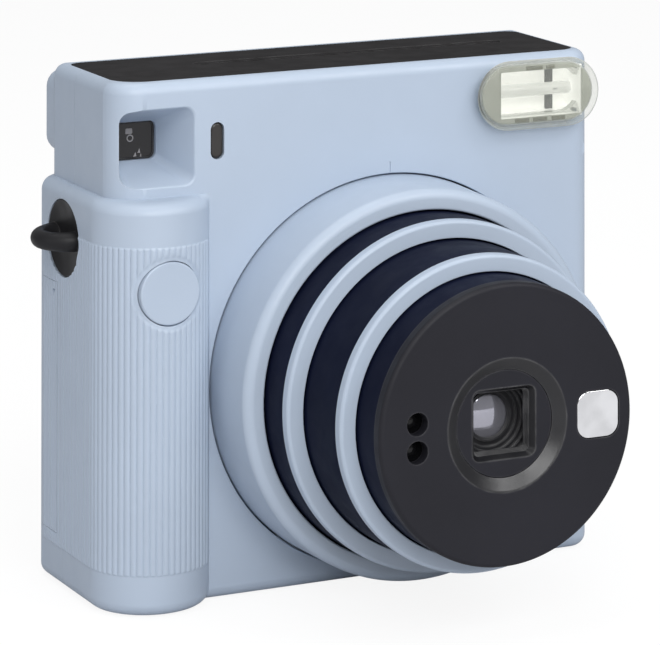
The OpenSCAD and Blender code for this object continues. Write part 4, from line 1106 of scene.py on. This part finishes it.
def softbox(name, place, size, power, target=(0.0, 0.0, 0.05)):
    light = bpy.data.lights.new(name, "AREA")
    light.shape, light.size, light.size_y, light.energy = "RECTANGLE", size[0], size[1], power
    obj = shown(bpy.data.objects.new(name, light))
    obj.location = place
    obj.rotation_euler = (Vector(target) - Vector(place)).to_track_quat("-Z", "Y").to_euler()


def seen_directly(tree):
    """1 where the camera looks straight at the surface, 0 in the light it sheds on other things."""
    return add(tree, "ShaderNodeLightPath").outputs["Is Camera Ray"]


def build_floor():
    """White paper, lit evenly enough for the object's shadow to stay faint."""
    half = 8
    floor = pillow("floor", rounded_at(0, 0, 2 * half / MM, 2 * half / MM, 100), -20, -0.2, axis="z")
    material, tree, bsdf, where = blank("paper")
    sheet = tint(tree, noise(tree, where, 600, 2), (0.8, 0.805, 0.81), (0.83, 0.83, 0.83))
    # Dimmer in the light it throws back up at the object than it looks to the camera
    dim = (0.62, 0.62, 0.635, 1)
    colour = add(tree, "ShaderNodeMix", {"data_type": "RGBA"}, i0=seen_directly(tree), i6=dim, i7=sheet)
    tree.links.new(colour.outputs[2], bsdf.inputs["Base Color"])
    tree.links.new(spread(tree, noise(tree, where, 40, 3), 0.75, 0.9), bsdf.inputs["Roughness"])
    glow = add(tree, "ShaderNodeEmission", None, Color=(1, 1, 1, 1), Strength=1.05).outputs[0]
    share = add(tree, "ShaderNodeMath", {"operation": "MULTIPLY"}, i0=seen_directly(tree), i1=0.85).outputs[0]
    mix = add(tree, "ShaderNodeMixShader", None, i0=share, i1=bsdf.outputs[0], i2=glow).outputs[0]
    tree.links.new(mix, tree.nodes["Material Output"].inputs["Surface"])
    floor.data.materials.append(material)


def build_world():
    world = bpy.data.worlds.new("studio")
    world.use_nodes = True
    tree = world.node_tree
    sky = tree.nodes["Background"]
    sky.inputs["Color"].default_value = (0.985, 0.99, 1, 1)
    strength = add(tree, "ShaderNodeMapRange", None, i0=seen_directly(tree), i3=AMBIENT, i4=1).outputs[0]
    tree.links.new(strength, sky.inputs["Strength"])
    bpy.context.scene.world = world


def build_camera():
    """A long lens level with the object, shifted down like a view camera; other views look straight ahead."""
    home = Vector((-0.38988, -0.85236, 0.25977))
    data = bpy.data.cameras.new("camera")
    data.lens, data.sensor_width, data.clip_end = 215.06, 36, 50
    camera = shown(bpy.data.objects.new("camera", data))
    camera.location = home
    camera.rotation_euler = Vector((0.4538, 0.8911, 0.0157)).to_track_quat("-Z", "Y").to_euler()
    for channel, shift in (("shift_x", -0.23398), ("shift_y", -1.4006)):
        driver = data.driver_add(channel).driver
        driver.type = "SCRIPTED"
        place = driver.variables.new()
        place.name, place.type = "y", "TRANSFORMS"
        place.targets[0].id = camera
        place.targets[0].transform_type = "LOC_Y"
        driver.expression = f"{shift} if abs(y - {home.y:.5f}) < 0.0005 else 0"
    bpy.context.scene.camera = camera


build_floor()
build_world()
softbox("key", (-0.3, -1.3, 0.85), (1.1, 0.9), 16.2)
softbox("front", (0.7, -0.95, 1.1), (0.6, 0.6), 7)
softbox("top", (-0.1, 0.05, 1.5), (1.2, 1.0), 7.4)
softbox("side", (-1.3, -0.3, 0.5), (0.8, 0.8), 2.1)
bpy.context.scene.view_settings.view_transform = "Standard"
build_camera()
